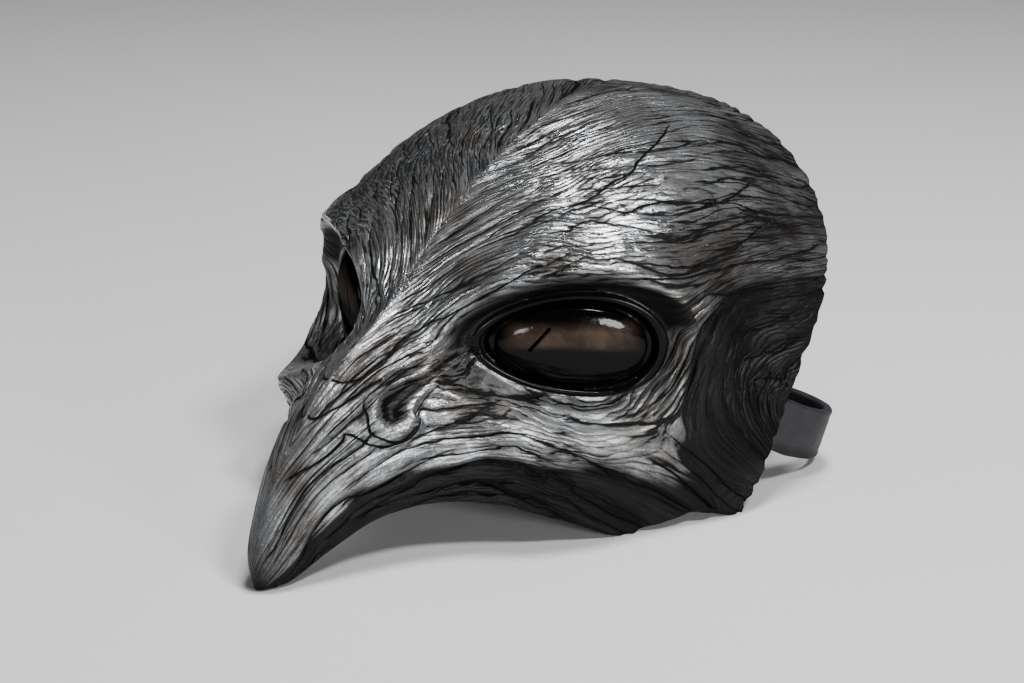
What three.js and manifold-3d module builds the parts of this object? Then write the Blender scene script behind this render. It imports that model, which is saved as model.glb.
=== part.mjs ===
import * as THREE from 'three';
import { ParametricGeometry } from 'three/addons/geometries/ParametricGeometry.js';
import { mergeGeometries, mergeVertices } from 'three/addons/utils/BufferGeometryUtils.js';
import Module from 'manifold-3d';

// Cast bird half mask lying on its beak tip and lower margins, face towards -Y, in millimetres
const WALL = 4;
const EYE_BOSS = 3;

// The eye field is the part of each side whose facets run in rings round the eye
const FIELD_ROWS = [0.34, 0.86];
const FIELD_SHARES = [0.06, 0.86];
const EYE_AT = [0.57, 0.55];

// Facet lines: each stretch ends at a share of the way and has so many steps
const ROW_STRETCHES = [[0, 0], [FIELD_ROWS[0], 10], [FIELD_ROWS[1], 14], [1, 4]];
const OUTER_STRETCHES = [[0, 0], [FIELD_SHARES[0], 1], [FIELD_SHARES[1], 16], [1, 4]];
const INNER_STRETCHES = [[0, 0], [FIELD_SHARES[0], 1], [FIELD_SHARES[1], 8], [1, 2]];

// Rings of facets: shares of the way in from the field's edge, then multiples of the eye's reach
const OUTER_RINGS = { edge: [1, 0.7, 0.35], reach: [1.1, 1.0, 0.92, 0.84, 0.76, 0.68] };
const INNER_RINGS = { edge: [1, 0.5], reach: [1.1, 0.92, 0.76, 0.6] };
const PROFILE_POINTS = 48;
const PROFILE_SMOOTHING = 5;

// Sections from beak tip to rear rim: ridge (y, z), lower margin (x, y, z), half width,
// how far down the widest point lies, and how full the curve above it is
const SECTIONS = [
  { ridge: [0.0, 0.4], margin: [0.8, 1.6, 0.0], half: 1.2, widest: 0.6, full: 2.0 },
  { ridge: [0.4, 13.0], margin: [5.2, 8.1, 1.6], half: 6.4, widest: 0.7, full: 1.9 },
  { ridge: [8.5, 28.5], margin: [9.5, 20.3, 7.6], half: 11.5, widest: 0.7, full: 1.8 },
  { ridge: [20.5, 42.0], margin: [15.0, 34.6, 13.4], half: 17.5, widest: 0.7, full: 1.7 },
  { ridge: [36.0, 53.5], margin: [23.0, 48.5, 15.0], half: 25.0, widest: 0.7, full: 1.4 },
  { ridge: [51.0, 61.5], margin: [32.0, 58.5, 14.0], half: 34.0, widest: 0.68, full: 1.12 },
  { ridge: [66.0, 71.0], margin: [42.0, 68.0, 10.3], half: 47.0, widest: 0.62, full: 1.25 },
  { ridge: [82.2, 82.4], margin: [51.0, 78.5, 4.8], half: 56.5, widest: 0.56, full: 1.75 },
  { ridge: [99.0, 92.6], margin: [58.0, 89.2, 0.0], half: 62.5, widest: 0.52, full: 2.15 },
  { ridge: [118.0, 100.8], margin: [63.5, 97.5, 1.6], half: 67.5, widest: 0.52, full: 2.25 },
  { ridge: [143.0, 108.0], margin: [69.5, 109.0, 3.2], half: 73.0, widest: 0.53, full: 2.15 },
  { ridge: [170.0, 110.3], margin: [74.5, 119.0, 0.4], half: 78.5, widest: 0.54, full: 2.1 },
  { ridge: [196.0, 105.6], margin: [76.5, 125.0, 0.0], half: 81.5, widest: 0.54, full: 2.12 },
];

// A smooth curve through one value of all the sections
function blended(pick, s) {
  const at = THREE.MathUtils.clamp(s, 0, 1) * (SECTIONS.length - 1);
  const i = Math.min(Math.floor(at), SECTIONS.length - 2);
  const value = (k) => pick(SECTIONS[THREE.MathUtils.clamp(k, 0, SECTIONS.length - 1)]);
  const [a, b, c, d] = [value(i - 1), value(i), value(i + 1), value(i + 2)];
  const f = at - i;
  const square = 2 * a - 5 * b + 4 * c - d;
  const cube = 3 * b - a - 3 * c + d;
  return b + 0.5 * ((c - a) * f + square * f * f + cube * f * f * f);
}

// Half a section from ridge to margin as [x, share of the way down], a curve above the widest
// point and another below it
const KNEE = 0.55;

function halfProfile(s) {
  const half = blended((k) => k.half, s);
  const widest = blended((k) => k.widest, s);
  const power = 2 / blended((k) => k.full, s);
  const marginX = blended((k) => k.margin[0], s);
  const points = [];
  for (let i = 0; i <= PROFILE_POINTS; i++) {
    const q = (2 * i) / PROFILE_POINTS;
    if (q <= 1) {
      const angle = (q * Math.PI) / 2;
      points.push([half * Math.sin(angle) ** power, widest * (1 - Math.cos(angle) ** power)]);
    } else {
      const g = q - 1;
      const knee = widest + KNEE * (1 - widest);
      const x = (1 - g) * (1 - g) * half + 2 * g * (1 - g) * half + g * g * marginX;
      const down = (1 - g) * (1 - g) * widest + 2 * g * (1 - g) * knee + g * g;
      points.push([x, down]);
    }
  }
  return points;
}

const sectionCache = new Map();

// One whole section from the right margin to the left one, with its running length
function section(s) {
  const key = Math.round(s * 1e5);
  if (sectionCache.has(key)) return sectionCache.get(key);
  const ridgeY = blended((k) => k.ridge[0], s);
  const ridgeZ = blended((k) => k.ridge[1], s);
  const marginY = blended((k) => k.margin[1], s);
  const marginZ = blended((k) => k.margin[2], s);
  const half = halfProfile(s);
  const flat = [...half.slice(1).reverse().map(([x, d]) => [-x, d]), ...half];
  let points = flat.map(
    ([x, d]) => new THREE.Vector3(x, ridgeY + d * (marginY - ridgeY), ridgeZ + d * (marginZ - ridgeZ)),
  );
  for (let round = 0; round < PROFILE_SMOOTHING; round++) {
    points = points.map((p, i) => {
      if (i === 0 || i === points.length - 1) return p.clone();
      return p.clone().multiplyScalar(2).add(points[i - 1]).add(points[i + 1]).divideScalar(4);
    });
  }
  const run = [0];
  for (let i = 1; i < points.length; i++) run.push(run[i - 1] + points[i].distanceTo(points[i - 1]));
  const made = { points, run };
  sectionCache.set(key, made);
  return made;
}

// A point of the plain form: s runs from tip to rim, t from -1 at the right margin to 1 at the left one
export function formPoint(s, t) {
  const { points, run } = section(s);
  const length = ((t + 1) / 2) * run[run.length - 1];
  let i = 1;
  while (i < run.length - 1 && run[i] < length) i++;
  const f = (length - run[i - 1]) / Math.max(run[i] - run[i - 1], 1e-9);
  return points[i - 1].clone().lerp(points[i], THREE.MathUtils.clamp(f, 0, 1));
}

// The eye's own plane: u along the eye away from the nose, v up, w out of the face
const EYE_INNER = new THREE.Vector3(20, 74.2, 54.6);
const EYE_OUTER = new THREE.Vector3(58, 109, 54.6);
const EYE_CENTRE = EYE_INNER.clone().add(EYE_OUTER).divideScalar(2);
const EYE_ALONG = EYE_OUTER.clone().sub(EYE_INNER).normalize();
const EYE_UP = new THREE.Vector3(0, 0, 1);
const EYE_OUT = EYE_ALONG.clone().cross(EYE_UP);
const EYE_HALF_LENGTH = 26.2;
const EYE_HALF_HEIGHT = 13.8;
const EYE_EGG = 0.006;
const EYE_DROP = -2.1;
const EYE_SLOPE = -0.06;

function eyeFrame(p) {
  const d = p.clone().sub(EYE_CENTRE);
  return [d.dot(EYE_ALONG), d.dot(EYE_UP), d.dot(EYE_OUT)];
}

function fromEyeFrame(u, v, w) {
  return EYE_CENTRE.clone()
    .addScaledVector(EYE_ALONG, u)
    .addScaledVector(EYE_UP, v)
    .addScaledVector(EYE_OUT, w);
}

// How far out a point of the eye plane is, where 1 is the outline of the lids, and its angle
function eyeRing(u, v) {
  const a = u / EYE_HALF_LENGTH;
  const b = (v - EYE_DROP - EYE_SLOPE * u) / (EYE_HALF_HEIGHT * (1 + EYE_EGG * u));
  return [Math.hypot(a, b), Math.atan2(b, a)];
}

function eyeOutline(ring, angle, w) {
  const u = EYE_HALF_LENGTH * ring * Math.cos(angle);
  const v = EYE_DROP + EYE_SLOPE * u + EYE_HALF_HEIGHT * (1 + EYE_EGG * u) * ring * Math.sin(angle);
  return fromEyeFrame(u, v, w);
}

// How far the carving round the eye reaches: highest over the brow, long towards the nose
const REACH = { least: 1.42, above: 0.36, below: 0.2, inner: 0.25 };

function eyeReach(angle) {
  const above = Math.max(0, Math.sin(angle)) ** 2;
  const below = Math.max(0, -Math.sin(angle)) ** 2;
  const inner = Math.max(0, -Math.cos(angle)) ** 2;
  const reach = REACH.least + REACH.above * above + REACH.below * below + REACH.inner * inner;
  return { above, below, inner, reach };
}

const smoothstep = (x, low, high) => THREE.MathUtils.smoothstep(x, low, high);
const hump = (x, width) => Math.exp(-((x / width) ** 2));

// Carved features: the socket's flat floor and how near its plane the form has to be, the roll
// round the socket, the hollow temple, the crease under the eye and the swelling of the cheek
const SOCKET = { floor: -1.0, lid: 1.0, near: 24, far: 40 };
const ROLL = { above: 5.0, below: 1.8, outer: 0.8, width: 0.3, widerBelow: 0.12 };
const TEMPLE = { y: 139, long: 17, z: 48, high: 24, from: 40, full: 60, depth: 8.5, rimLoss: 0.75 };
const CREASE = { z: 21, high: 5, from: [0.35, 0.5], until: [0.68, 0.78], depth: 1.6 };
const CHEEK = { y: 119, long: 13, z: 14, high: 9, from: 50, full: 65, height: 2.2 };

// The form with its carved features, worked out on the left side and mirrored
export function carvedPoint(s, t) {
  const side = t < 0 ? -1 : 1;
  const p = formPoint(s, t);
  p.x = Math.abs(p.x);
  const [u, v, w] = eyeFrame(p);
  const [ring, angle] = eyeRing(u, v);
  const { above, below, inner, reach } = eyeReach(angle);
  const front = 1 - smoothstep(Math.abs(w), SOCKET.near, SOCKET.far);
  const socket = 1 - smoothstep(ring, SOCKET.lid, reach);
  p.addScaledVector(EYE_OUT, (SOCKET.floor - w) * socket * front);
  const roll = ROLL.above * above + ROLL.below * below + ROLL.outer * (1 - above - below) * (1 - inner);
  p.addScaledVector(EYE_OUT, roll * hump(ring - reach, ROLL.width + ROLL.widerBelow * below) * front);
  const temple = hump(p.y - TEMPLE.y, TEMPLE.long) * hump(p.z - TEMPLE.z, TEMPLE.high);
  const templeDepth = TEMPLE.depth * smoothstep(p.x, TEMPLE.from, TEMPLE.full);
  p.x -= templeDepth * temple * (1 - TEMPLE.rimLoss * smoothstep(s, 0.9, 1));
  const crease = smoothstep(s, ...CREASE.from) * (1 - smoothstep(s, ...CREASE.until));
  p.addScaledVector(EYE_OUT, -CREASE.depth * hump(p.z - CREASE.z, CREASE.high) * crease * front);
  const cheek = hump(p.y - CHEEK.y, CHEEK.long) * hump(p.z - CHEEK.z, CHEEK.high);
  p.x += CHEEK.height * cheek * smoothstep(p.x, CHEEK.from, CHEEK.full);
  p.z = Math.max(p.z, 0);
  p.x *= side;
  return p;
}

// Outward normal of the carved form, from its two running directions
const NORMAL_STEP = 0.004;

function outward(s, t) {
  const [before, after] = [Math.max(s - NORMAL_STEP, 0), Math.min(s + NORMAL_STEP, 1)];
  const [right, left] = [Math.max(t - NORMAL_STEP, -1), Math.min(t + NORMAL_STEP, 1)];
  const along = carvedPoint(after, t).sub(carvedPoint(before, t));
  const across = carvedPoint(s, left).sub(carvedPoint(s, right));
  return across.cross(along).normalize();
}

// The hollow starts a fifth of the way back, so the beak is solid in front of it
const CAVITY_START = 0.2;
const CAVITY_FULL = 0.36;

// The wall is thicker round the eyes, to seat the lenses
const BOSS = { ring: [1.15, 1.6], depth: [8, 20] };

function wallAt(p) {
  const [u, v, w] = eyeFrame(p.clone().setX(Math.abs(p.x)));
  const near = 1 - smoothstep(Math.abs(w), ...BOSS.depth);
  return WALL + EYE_BOSS * near * (1 - smoothstep(eyeRing(u, v)[0], ...BOSS.ring));
}

// The rear rim is flat: it holds the X axis and the line from the crown to the lower corner
const lastSection = SECTIONS[SECTIONS.length - 1];
const RIM_NORMAL = new THREE.Vector3(
  0,
  lastSection.ridge[1] - lastSection.margin[2],
  lastSection.margin[1] - lastSection.ridge[0],
).normalize();

function innerPoint(s, t) {
  const face = carvedPoint(s, t);
  const offset = face.clone().addScaledVector(outward(s, t), -wallAt(face));
  const chord = carvedPoint(s, -1).lerp(carvedPoint(s, 1), (t + 1) / 2);
  const open = smoothstep(s, CAVITY_START, CAVITY_FULL);
  const p = chord.lerp(offset, open);
  p.z = Math.max(p.z, 0);
  if (s === 1) p.addScaledVector(RIM_NORMAL, -p.clone().sub(carvedPoint(1, 0)).dot(RIM_NORMAL));
  return p;
}

function stepped(stretches) {
  const shares = [0];
  for (let i = 1; i < stretches.length; i++) {
    const [from, to, count] = [stretches[i - 1][0], stretches[i][0], stretches[i][1]];
    for (let k = 1; k <= count; k++) shares.push(from + ((to - from) * k) / count);
  }
  return shares;
}

function bothSides(half) {
  return [...half.slice(1).reverse().map((t) => -t), ...half];
}

const rowShares = stepped(ROW_STRETCHES);
const outerShares = bothSides(stepped(OUTER_STRETCHES));
const innerShares = bothSides(stepped(INNER_STRETCHES)).reverse();
const ringSize = outerShares.length + innerShares.length;

const isWithin = (x, [low, high]) => x > low - 1e-6 && x < high + 1e-6;

// The edge of the left eye field as a closed loop of [s, t] on the given lines
function fieldEdge(shares) {
  const across = shares.filter((t) => isWithin(t, FIELD_SHARES)).sort((a, b) => a - b);
  const down = rowShares.filter((s) => isWithin(s, FIELD_ROWS));
  const [front, back] = FIELD_ROWS;
  const [top, bottom] = FIELD_SHARES;
  return [
    ...across.slice(0, -1).map((t) => [front, t]),
    ...down.slice(0, -1).map((s) => [s, bottom]),
    ...across.slice(1).reverse().map((t) => [back, t]),
    ...down.slice(1).reverse().map((s) => [s, top]),
  ];
}

const towardsEye = ([s, t], share) => [
  THREE.MathUtils.lerp(EYE_AT[0], s, share),
  THREE.MathUtils.lerp(EYE_AT[1], t, share),
];

// The share of the way out from the eye at which its ring has grown to this multiple of its reach
function shareOfReach(edge, multiple) {
  let [low, high] = [0, 1];
  for (let round = 0; round < 24; round++) {
    const middle = (low + high) / 2;
    const [u, v] = eyeFrame(formPoint(...towardsEye(edge, middle)));
    const [ring, angle] = eyeRing(u, v);
    if (ring < multiple * eyeReach(angle).reach) low = middle;
    else high = middle;
  }
  return low;
}

// The facets of one eye field; pointAt gives the outer or the inner face
function eyeField(pointAt, shares, ringSteps, side) {
  const edge = fieldEdge(shares);
  const reached = ringSteps.reach.map((multiple) => edge.map((at) => shareOfReach(at, multiple)));
  const outside = ringSteps.edge.map((step) => reached[0].map((share) => share + (1 - share) * step));
  const centre = edge.map(() => 0);
  const rings = [...outside, ...reached, centre].map((shares) =>
    shares.map((share, k) => towardsEye(edge[k], share)),
  );
  const point = (j, k) => {
    const [s, t] = rings[j][side < 0 ? edge.length - 1 - k : k];
    return pointAt(s, side * t);
  };
  return loft(point, edge.length, rings.length - 1);
}

function shellRingPoint(s, k) {
  if (s === 0) return carvedPoint(0, -1).lerp(carvedPoint(0, 0), 0.5).setX(0);
  if (k < outerShares.length) return carvedPoint(s, outerShares[k]);
  return innerPoint(s, innerShares[k - outerShares.length]);
}

const SIDES = [['left', 1], ['right', -1]];

// Faces turned to look the other way
function turnedOver(geometry) {
  const index = Array.from(geometry.index.array);
  for (let i = 0; i < index.length; i += 3) [index[i + 1], index[i + 2]] = [index[i + 2], index[i + 1]];
  geometry.setIndex(index);
  return geometry;
}

// Vertices shared, flat slivers left out
function welded(geometry) {
  const plain = geometry.clone();
  for (const name of ['normal', 'uv']) plain.deleteAttribute(name);
  const merged = mergeVertices(plain, 1e-3);
  const index = [];
  for (let i = 0; i < merged.index.count; i += 3) {
    const [a, b, c] = [0, 1, 2].map((k) => merged.index.getX(i + k));
    if (a !== b && b !== c && c !== a) index.push(a, b, c);
  }
  merged.setIndex(index);
  return merged;
}

// A closed band of facets through point(row, place in the row), less the cells that aren't kept
function loft(point, around, along, isKept = () => true) {
  const place = (u, v, target) => {
    const [j, k] = [Math.round(v * along), Math.round(u * around) % around];
    return target.copy(point(j, k));
  };
  const g = new ParametricGeometry(place, around, along);
  const kept = Array.from(g.index.array).filter((_, i) => {
    const cell = Math.floor(i / 6);
    return isKept(Math.floor(cell / around), cell % around);
  });
  g.setIndex(kept);
  for (const name of ['normal', 'uv']) g.deleteAttribute(name);
  return g;
}

function planarCap(points, flipped) {
  const flat = points.map((p) => new THREE.Vector2(p.x, p.z));
  const faces = THREE.ShapeUtils.triangulateShape(flat, []);
  const corners = faces.flatMap((f) => (flipped ? [f[0], f[2], f[1]] : f)).map((i) => points[i]);
  const cap = new THREE.BufferGeometry().setFromPoints(corners);
  cap.setIndex(corners.map((_, i) => i));
  return cap;
}

// Whether a cell of the plain grid lies outside both eye fields
function isPlain(j, k) {
  const ringShares = [...outerShares, ...innerShares];
  const s = (rowShares[j] + rowShares[j + 1]) / 2;
  const t = (ringShares[k] + ringShares[(k + 1) % ringSize]) / 2;
  return !(isWithin(s, FIELD_ROWS) && isWithin(Math.abs(t), FIELD_SHARES));
}

function shellBody() {
  const grid = loft((j, k) => shellRingPoint(rowShares[j], k), ringSize, rowShares.length - 1, isPlain);
  const rim = Array.from({ length: ringSize }, (_, k) => shellRingPoint(1, k));
  const fields = SIDES.flatMap(([, side]) => [
    eyeField(carvedPoint, outerShares, OUTER_RINGS, side),
    turnedOver(eyeField(innerPoint, innerShares, INNER_RINGS, side)),
  ]);
  return welded(mergeGeometries([grid, planarCap(rim, true), ...fields]));
}

const wasm = await Module();
wasm.setup();

function solid(geometry) {
  const g = welded(geometry);
  const mesh = new wasm.Mesh({
    numProp: 3,
    vertProperties: new Float32Array(g.attributes.position.array),
    triVerts: new Uint32Array(g.index.array),
  });
  return new wasm.Manifold(mesh);
}

function geometryOf(manifold) {
  const mesh = manifold.getMesh();
  const g = new THREE.BufferGeometry();
  g.setAttribute('position', new THREE.BufferAttribute(new Float32Array(mesh.vertProperties), 3));
  g.setIndex(Array.from(mesh.triVerts));
  g.computeVertexNormals();
  return g;
}

function mirrored(geometry) {
  return turnedOver(welded(geometry).scale(-1, 1, 1));
}

const onSide = (geometry, side) => solid(side < 0 ? mirrored(geometry) : geometry);

// Moves a shape drawn round the z axis, radius 1 at the lids, into the left eye socket
function intoSocket(geometry) {
  const g = geometry.clone();
  const at = g.attributes.position;
  for (let i = 0; i < at.count; i++) {
    const [x, y, z] = [at.getX(i), at.getY(i), at.getZ(i)];
    const p = eyeOutline(Math.hypot(x, y), Math.atan2(y, x), z);
    at.setXYZ(i, p.x, p.y, p.z);
  }
  return g;
}

// A solid of revolution about z from [radius, height] pairs
function turned(profile, segments) {
  const points = profile.map(([r, h]) => new THREE.Vector2(r, h));
  return new THREE.LatheGeometry(points, segments).rotateX(Math.PI / 2);
}

const EYE_SEGMENTS = 28;
const LID = { radius: 1.5, ring: 1.05, height: -0.4, sides: 6 };
const POCKET_RING = 0.94;
const POCKET_FLOOR = -3;
const SIGHT_RING = 0.68;
const CUT_OUTSIDE = 6;
const CUT_INSIDE = -20;
const LENS_RING = 0.912;
const LENS_BACK = -2.7;
const LENS_EDGE = -1.6;
const LENS_TOP = 3.6;
const LENS_STEPS = 5;
const SLIT = { u: -9.45, v: 0.65, length: 9, width: 1.1, depth: 20, lean: 47 };

function lidRing() {
  const section = [];
  const share = LID.radius / EYE_HALF_HEIGHT;
  for (let i = 0; i <= LID.sides; i++) {
    const a = (i / LID.sides) * 2 * Math.PI;
    section.push([LID.ring + share * Math.cos(a), LID.height + LID.radius * Math.sin(a)]);
  }
  return intoSocket(turned(section, EYE_SEGMENTS));
}

const disc = (radius, low, high) =>
  intoSocket(turned([[0, low], [radius, low], [radius, high], [0, high]], EYE_SEGMENTS));

function lensBody() {
  const profile = [[0, LENS_BACK], [LENS_RING, LENS_BACK], [LENS_RING, LENS_EDGE]];
  for (let i = 1; i < LENS_STEPS; i++) {
    const a = (i / LENS_STEPS) * (Math.PI / 2);
    profile.push([LENS_RING * Math.cos(a), LENS_EDGE + (LENS_TOP - LENS_EDGE) * Math.sin(a)]);
  }
  profile.push([0, LENS_TOP]);
  return intoSocket(turned(profile, EYE_SEGMENTS));
}

function slitCutter() {
  const box = new THREE.BoxGeometry(SLIT.length, SLIT.width, SLIT.depth);
  box.rotateZ(THREE.MathUtils.degToRad(SLIT.lean));
  const basis = new THREE.Matrix4().makeBasis(EYE_ALONG, EYE_UP, EYE_OUT);
  return box.applyMatrix4(basis.setPosition(fromEyeFrame(SLIT.u, SLIT.v, 0)));
}

// Nostril pits, drawn out along the crease towards the eye
const NOSTRIL = { at: [0.375, 0.36], pointsTo: [0.435, 0.33], length: 8, width: 3.6, depth: 2.6 };

function nostrilPit() {
  const centre = carvedPoint(...NOSTRIL.at);
  const out = outward(...NOSTRIL.at);
  const back = carvedPoint(...NOSTRIL.pointsTo).sub(centre).normalize();
  const up = out.clone().cross(back).normalize();
  const along = up.clone().cross(out);
  const pit = new THREE.SphereGeometry(1, 14, 8);
  pit.scale(NOSTRIL.length, NOSTRIL.width, NOSTRIL.depth);
  return pit.applyMatrix4(new THREE.Matrix4().makeBasis(along, up, out).setPosition(centre));
}

function maskShell() {
  let body = solid(shellBody());
  for (const [, side] of SIDES) {
    body = body.add(onSide(lidRing(), side));
    body = body.subtract(onSide(disc(POCKET_RING, POCKET_FLOOR, CUT_OUTSIDE), side));
    body = body.subtract(onSide(disc(SIGHT_RING, CUT_INSIDE, 0), side));
    body = body.subtract(onSide(nostrilPit(), side));
  }
  return geometryOf(body);
}

const lens = (side) => geometryOf(onSide(lensBody(), side).subtract(onSide(slitCutter(), side)));

// The head strap: a flat band on edge, fixed inside both side walls and bent round behind.
// Its free stretch is a list of middle points with the share by which its top leans inwards.
const STRAP = { width: 16, thickness: 3, gap: 1.3, steps: 18 };
const STRAP_ON_WALL = { t: 0.85, rows: [0.86, 0.92] };
const STRAP_ROUTE = [
  { at: [72.6, 148, 19.6], lean: 0 },
  { at: [75.2, 158, 15.0], lean: -0.2 },
  { at: [76.4, 168.5, 11.2], lean: -0.32 },
  { at: [72.0, 178, 9.8], lean: -0.26 },
  { at: [59.0, 185, 9.6], lean: -0.08 },
  { at: [38.0, 189.5, 9.0], lean: 0 },
  { at: [13.0, 191.5, 8.8], lean: 0 },
];

function strapKnots() {
  const reach = STRAP.gap + STRAP.thickness / 2;
  const { t, rows } = STRAP_ON_WALL;
  const onWall = rows.map((s) => {
    const up = carvedPoint(s, t - NORMAL_STEP).sub(carvedPoint(s, t + NORMAL_STEP)).normalize();
    return { at: innerPoint(s, t).addScaledVector(outward(s, t), -reach), up };
  });
  const free = STRAP_ROUTE.map(({ at, lean }) => ({
    at: new THREE.Vector3(...at),
    up: new THREE.Vector3(-lean, 0, 1).normalize(),
  }));
  const left = [...onWall, ...free];
  const flip = (v) => v.clone().setX(-v.x);
  const right = left.map((k) => ({ at: flip(k.at), up: flip(k.up) })).reverse();
  return [...left, ...right];
}

function strapBody() {
  const knots = strapKnots();
  const line = new THREE.CatmullRomCurve3(knots.map((k) => k.at));
  const ups = new THREE.CatmullRomCurve3(knots.map((k) => k.up));
  const steps = 2 * STRAP.steps;
  const corners = [[1, -1], [1, 1], [-1, 1], [-1, -1]];
  const corner = (j, k) => {
    const share = THREE.MathUtils.clamp((j - 1) / steps, 0, 1);
    const middle = line.getPoint(share);
    if (j === 0 || j === steps + 2) return middle;
    const along = line.getTangent(share);
    const up = ups.getPoint(share);
    up.addScaledVector(along, -up.dot(along)).normalize();
    const out = up.clone().cross(along);
    const [a, b] = corners[k];
    middle.addScaledVector(out, (a * STRAP.thickness) / 2);
    return middle.addScaledVector(up, (b * STRAP.width) / 2);
  };
  return welded(loft(corner, corners.length, steps + 2));
}

function materials(color, roughness, metalness) {
  return new THREE.MeshStandardMaterial({ color, roughness, metalness });
}

const group = new THREE.Group();
function place(name, geometry, material) {
  const mesh = new THREE.Mesh(geometry, material);
  mesh.name = name;
  group.add(mesh);
}

const metal = materials(0x55565a, 0.4, 0.9);
const gloss = materials(0x1a1512, 0.1, 0.0);
const leather = materials(0x3a383a, 0.7, 0.0);
place('mask_shell', maskShell(), metal);
for (const [name, side] of SIDES) place('eye_' + name, lens(side), gloss);
place('head_strap', geometryOf(solid(strapBody())), leather);

// The origin is the middle of the footprint, on the surface the mask lies on
const box = new THREE.Box3().setFromObject(group);
const middle = box.getCenter(new THREE.Vector3());
group.position.set(-middle.x, -middle.y, -box.min.z);

export default group;
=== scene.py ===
"""A cast metal bird half mask on a pale floor: bark-like relief, glossy eyes and a head strap."""

import math

import bmesh
import bpy
import numpy as np
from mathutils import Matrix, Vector


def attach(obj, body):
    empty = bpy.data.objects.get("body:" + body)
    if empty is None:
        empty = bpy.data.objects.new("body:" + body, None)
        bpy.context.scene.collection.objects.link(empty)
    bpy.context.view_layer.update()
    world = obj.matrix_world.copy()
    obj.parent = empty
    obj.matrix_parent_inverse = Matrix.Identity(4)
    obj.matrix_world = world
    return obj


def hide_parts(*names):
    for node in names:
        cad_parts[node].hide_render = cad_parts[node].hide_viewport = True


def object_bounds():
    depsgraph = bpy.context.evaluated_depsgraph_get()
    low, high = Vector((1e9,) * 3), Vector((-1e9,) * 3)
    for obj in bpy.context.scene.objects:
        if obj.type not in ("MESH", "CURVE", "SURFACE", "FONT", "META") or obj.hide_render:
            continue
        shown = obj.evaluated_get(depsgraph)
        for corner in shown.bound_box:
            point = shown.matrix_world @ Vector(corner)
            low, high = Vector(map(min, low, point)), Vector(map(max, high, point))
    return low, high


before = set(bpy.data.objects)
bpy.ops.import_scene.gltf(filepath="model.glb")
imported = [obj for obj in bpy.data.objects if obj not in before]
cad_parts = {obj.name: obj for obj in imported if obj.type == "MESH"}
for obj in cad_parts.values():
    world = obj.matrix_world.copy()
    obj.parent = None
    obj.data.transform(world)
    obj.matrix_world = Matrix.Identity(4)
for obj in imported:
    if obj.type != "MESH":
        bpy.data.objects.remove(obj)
solid_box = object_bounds()

# Camera: turned round the mask and raised, in degrees, as the photograph shows it
CAMERA_TURN = math.radians(35.31)
CAMERA_RISE = math.radians(17.5)
CAMERA_PLACE = (0.39879, -0.54288, 0.25711)
CAMERA_LENS = 85
SENSOR_WIDTH = 36

eye = bpy.data.objects.new("camera", bpy.data.cameras.new("camera"))
bpy.context.scene.collection.objects.link(eye)
eye.location = CAMERA_PLACE
eye.rotation_euler = (math.pi / 2 - CAMERA_RISE, 0, CAMERA_TURN)
eye.data.lens = CAMERA_LENS
eye.data.sensor_width = SENSOR_WIDTH
bpy.context.scene.camera = eye

# The form's own sizes are in millimetres from the beak tip, y backwards; MM brings them to metres
MM = 0.001

# What is as good as nothing in a length or share, in a sum and in the size of a step
TINY = 1e-9
SLIGHT = 1e-6
VANISHING = 1e-30

# Sections of the shell from beak tip to rear rim: ridge y, z, lower margin x, y, z, half width,
# how far down the widest point lies, and how full the curve above it is
SECTIONS = np.array([
    [0.0, 0.4, 0.8, 1.6, 0.0, 1.2, 0.60, 2.00],
    [0.4, 13.0, 5.2, 8.1, 1.6, 6.4, 0.70, 1.90],
    [8.5, 28.5, 9.5, 20.3, 7.6, 11.5, 0.70, 1.80],
    [20.5, 42.0, 15.0, 34.6, 13.4, 17.5, 0.70, 1.70],
    [36.0, 53.5, 23.0, 48.5, 15.0, 25.0, 0.70, 1.40],
    [51.0, 61.5, 32.0, 58.5, 14.0, 34.0, 0.68, 1.12],
    [66.0, 71.0, 42.0, 68.0, 10.3, 47.0, 0.62, 1.25],
    [82.2, 82.4, 51.0, 78.5, 4.8, 56.5, 0.56, 1.75],
    [99.0, 92.6, 58.0, 89.2, 0.0, 62.5, 0.52, 2.15],
    [118.0, 100.8, 63.5, 97.5, 1.6, 67.5, 0.52, 2.25],
    [143.0, 108.0, 69.5, 109.0, 3.2, 73.0, 0.53, 2.15],
    [170.0, 110.3, 74.5, 119.0, 0.4, 78.5, 0.54, 2.10],
    [196.0, 105.6, 76.5, 125.0, 0.0, 81.5, 0.54, 2.12],
])

# Points along each section's curve, how often it is smoothed, and where the curve turns in below its
# widest point
PROFILE_POINTS = 192
PROFILE_SMOOTHING = 80
KNEE = 0.55

# The left eye's own plane: along from nose to temple, up, and out of the face
EYE_INNER = np.array([20.0, 74.2, 54.6])
EYE_OUTER = np.array([58.0, 109.0, 54.6])
EYE_CENTRE = (EYE_INNER + EYE_OUTER) / 2
EYE_ALONG = (EYE_OUTER - EYE_INNER) / np.linalg.norm(EYE_OUTER - EYE_INNER)
EYE_UP = np.array([0.0, 0.0, 1.0])
EYE_OUT = np.cross(EYE_ALONG, EYE_UP)

# The outline of the lids in that plane: half length and height, how much higher it is towards the
# temple, and how far it is dropped and sloped
EYE_HALF_LENGTH = 26.2
EYE_HALF_HEIGHT = 13.8
EYE_EGG = 0.006
EYE_DROP = -2.1
EYE_SLOPE = -0.06

# How thick the wall is, and how much thicker behind the eye
WALL = 4.0
EYE_BOSS = 3.0

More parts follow.
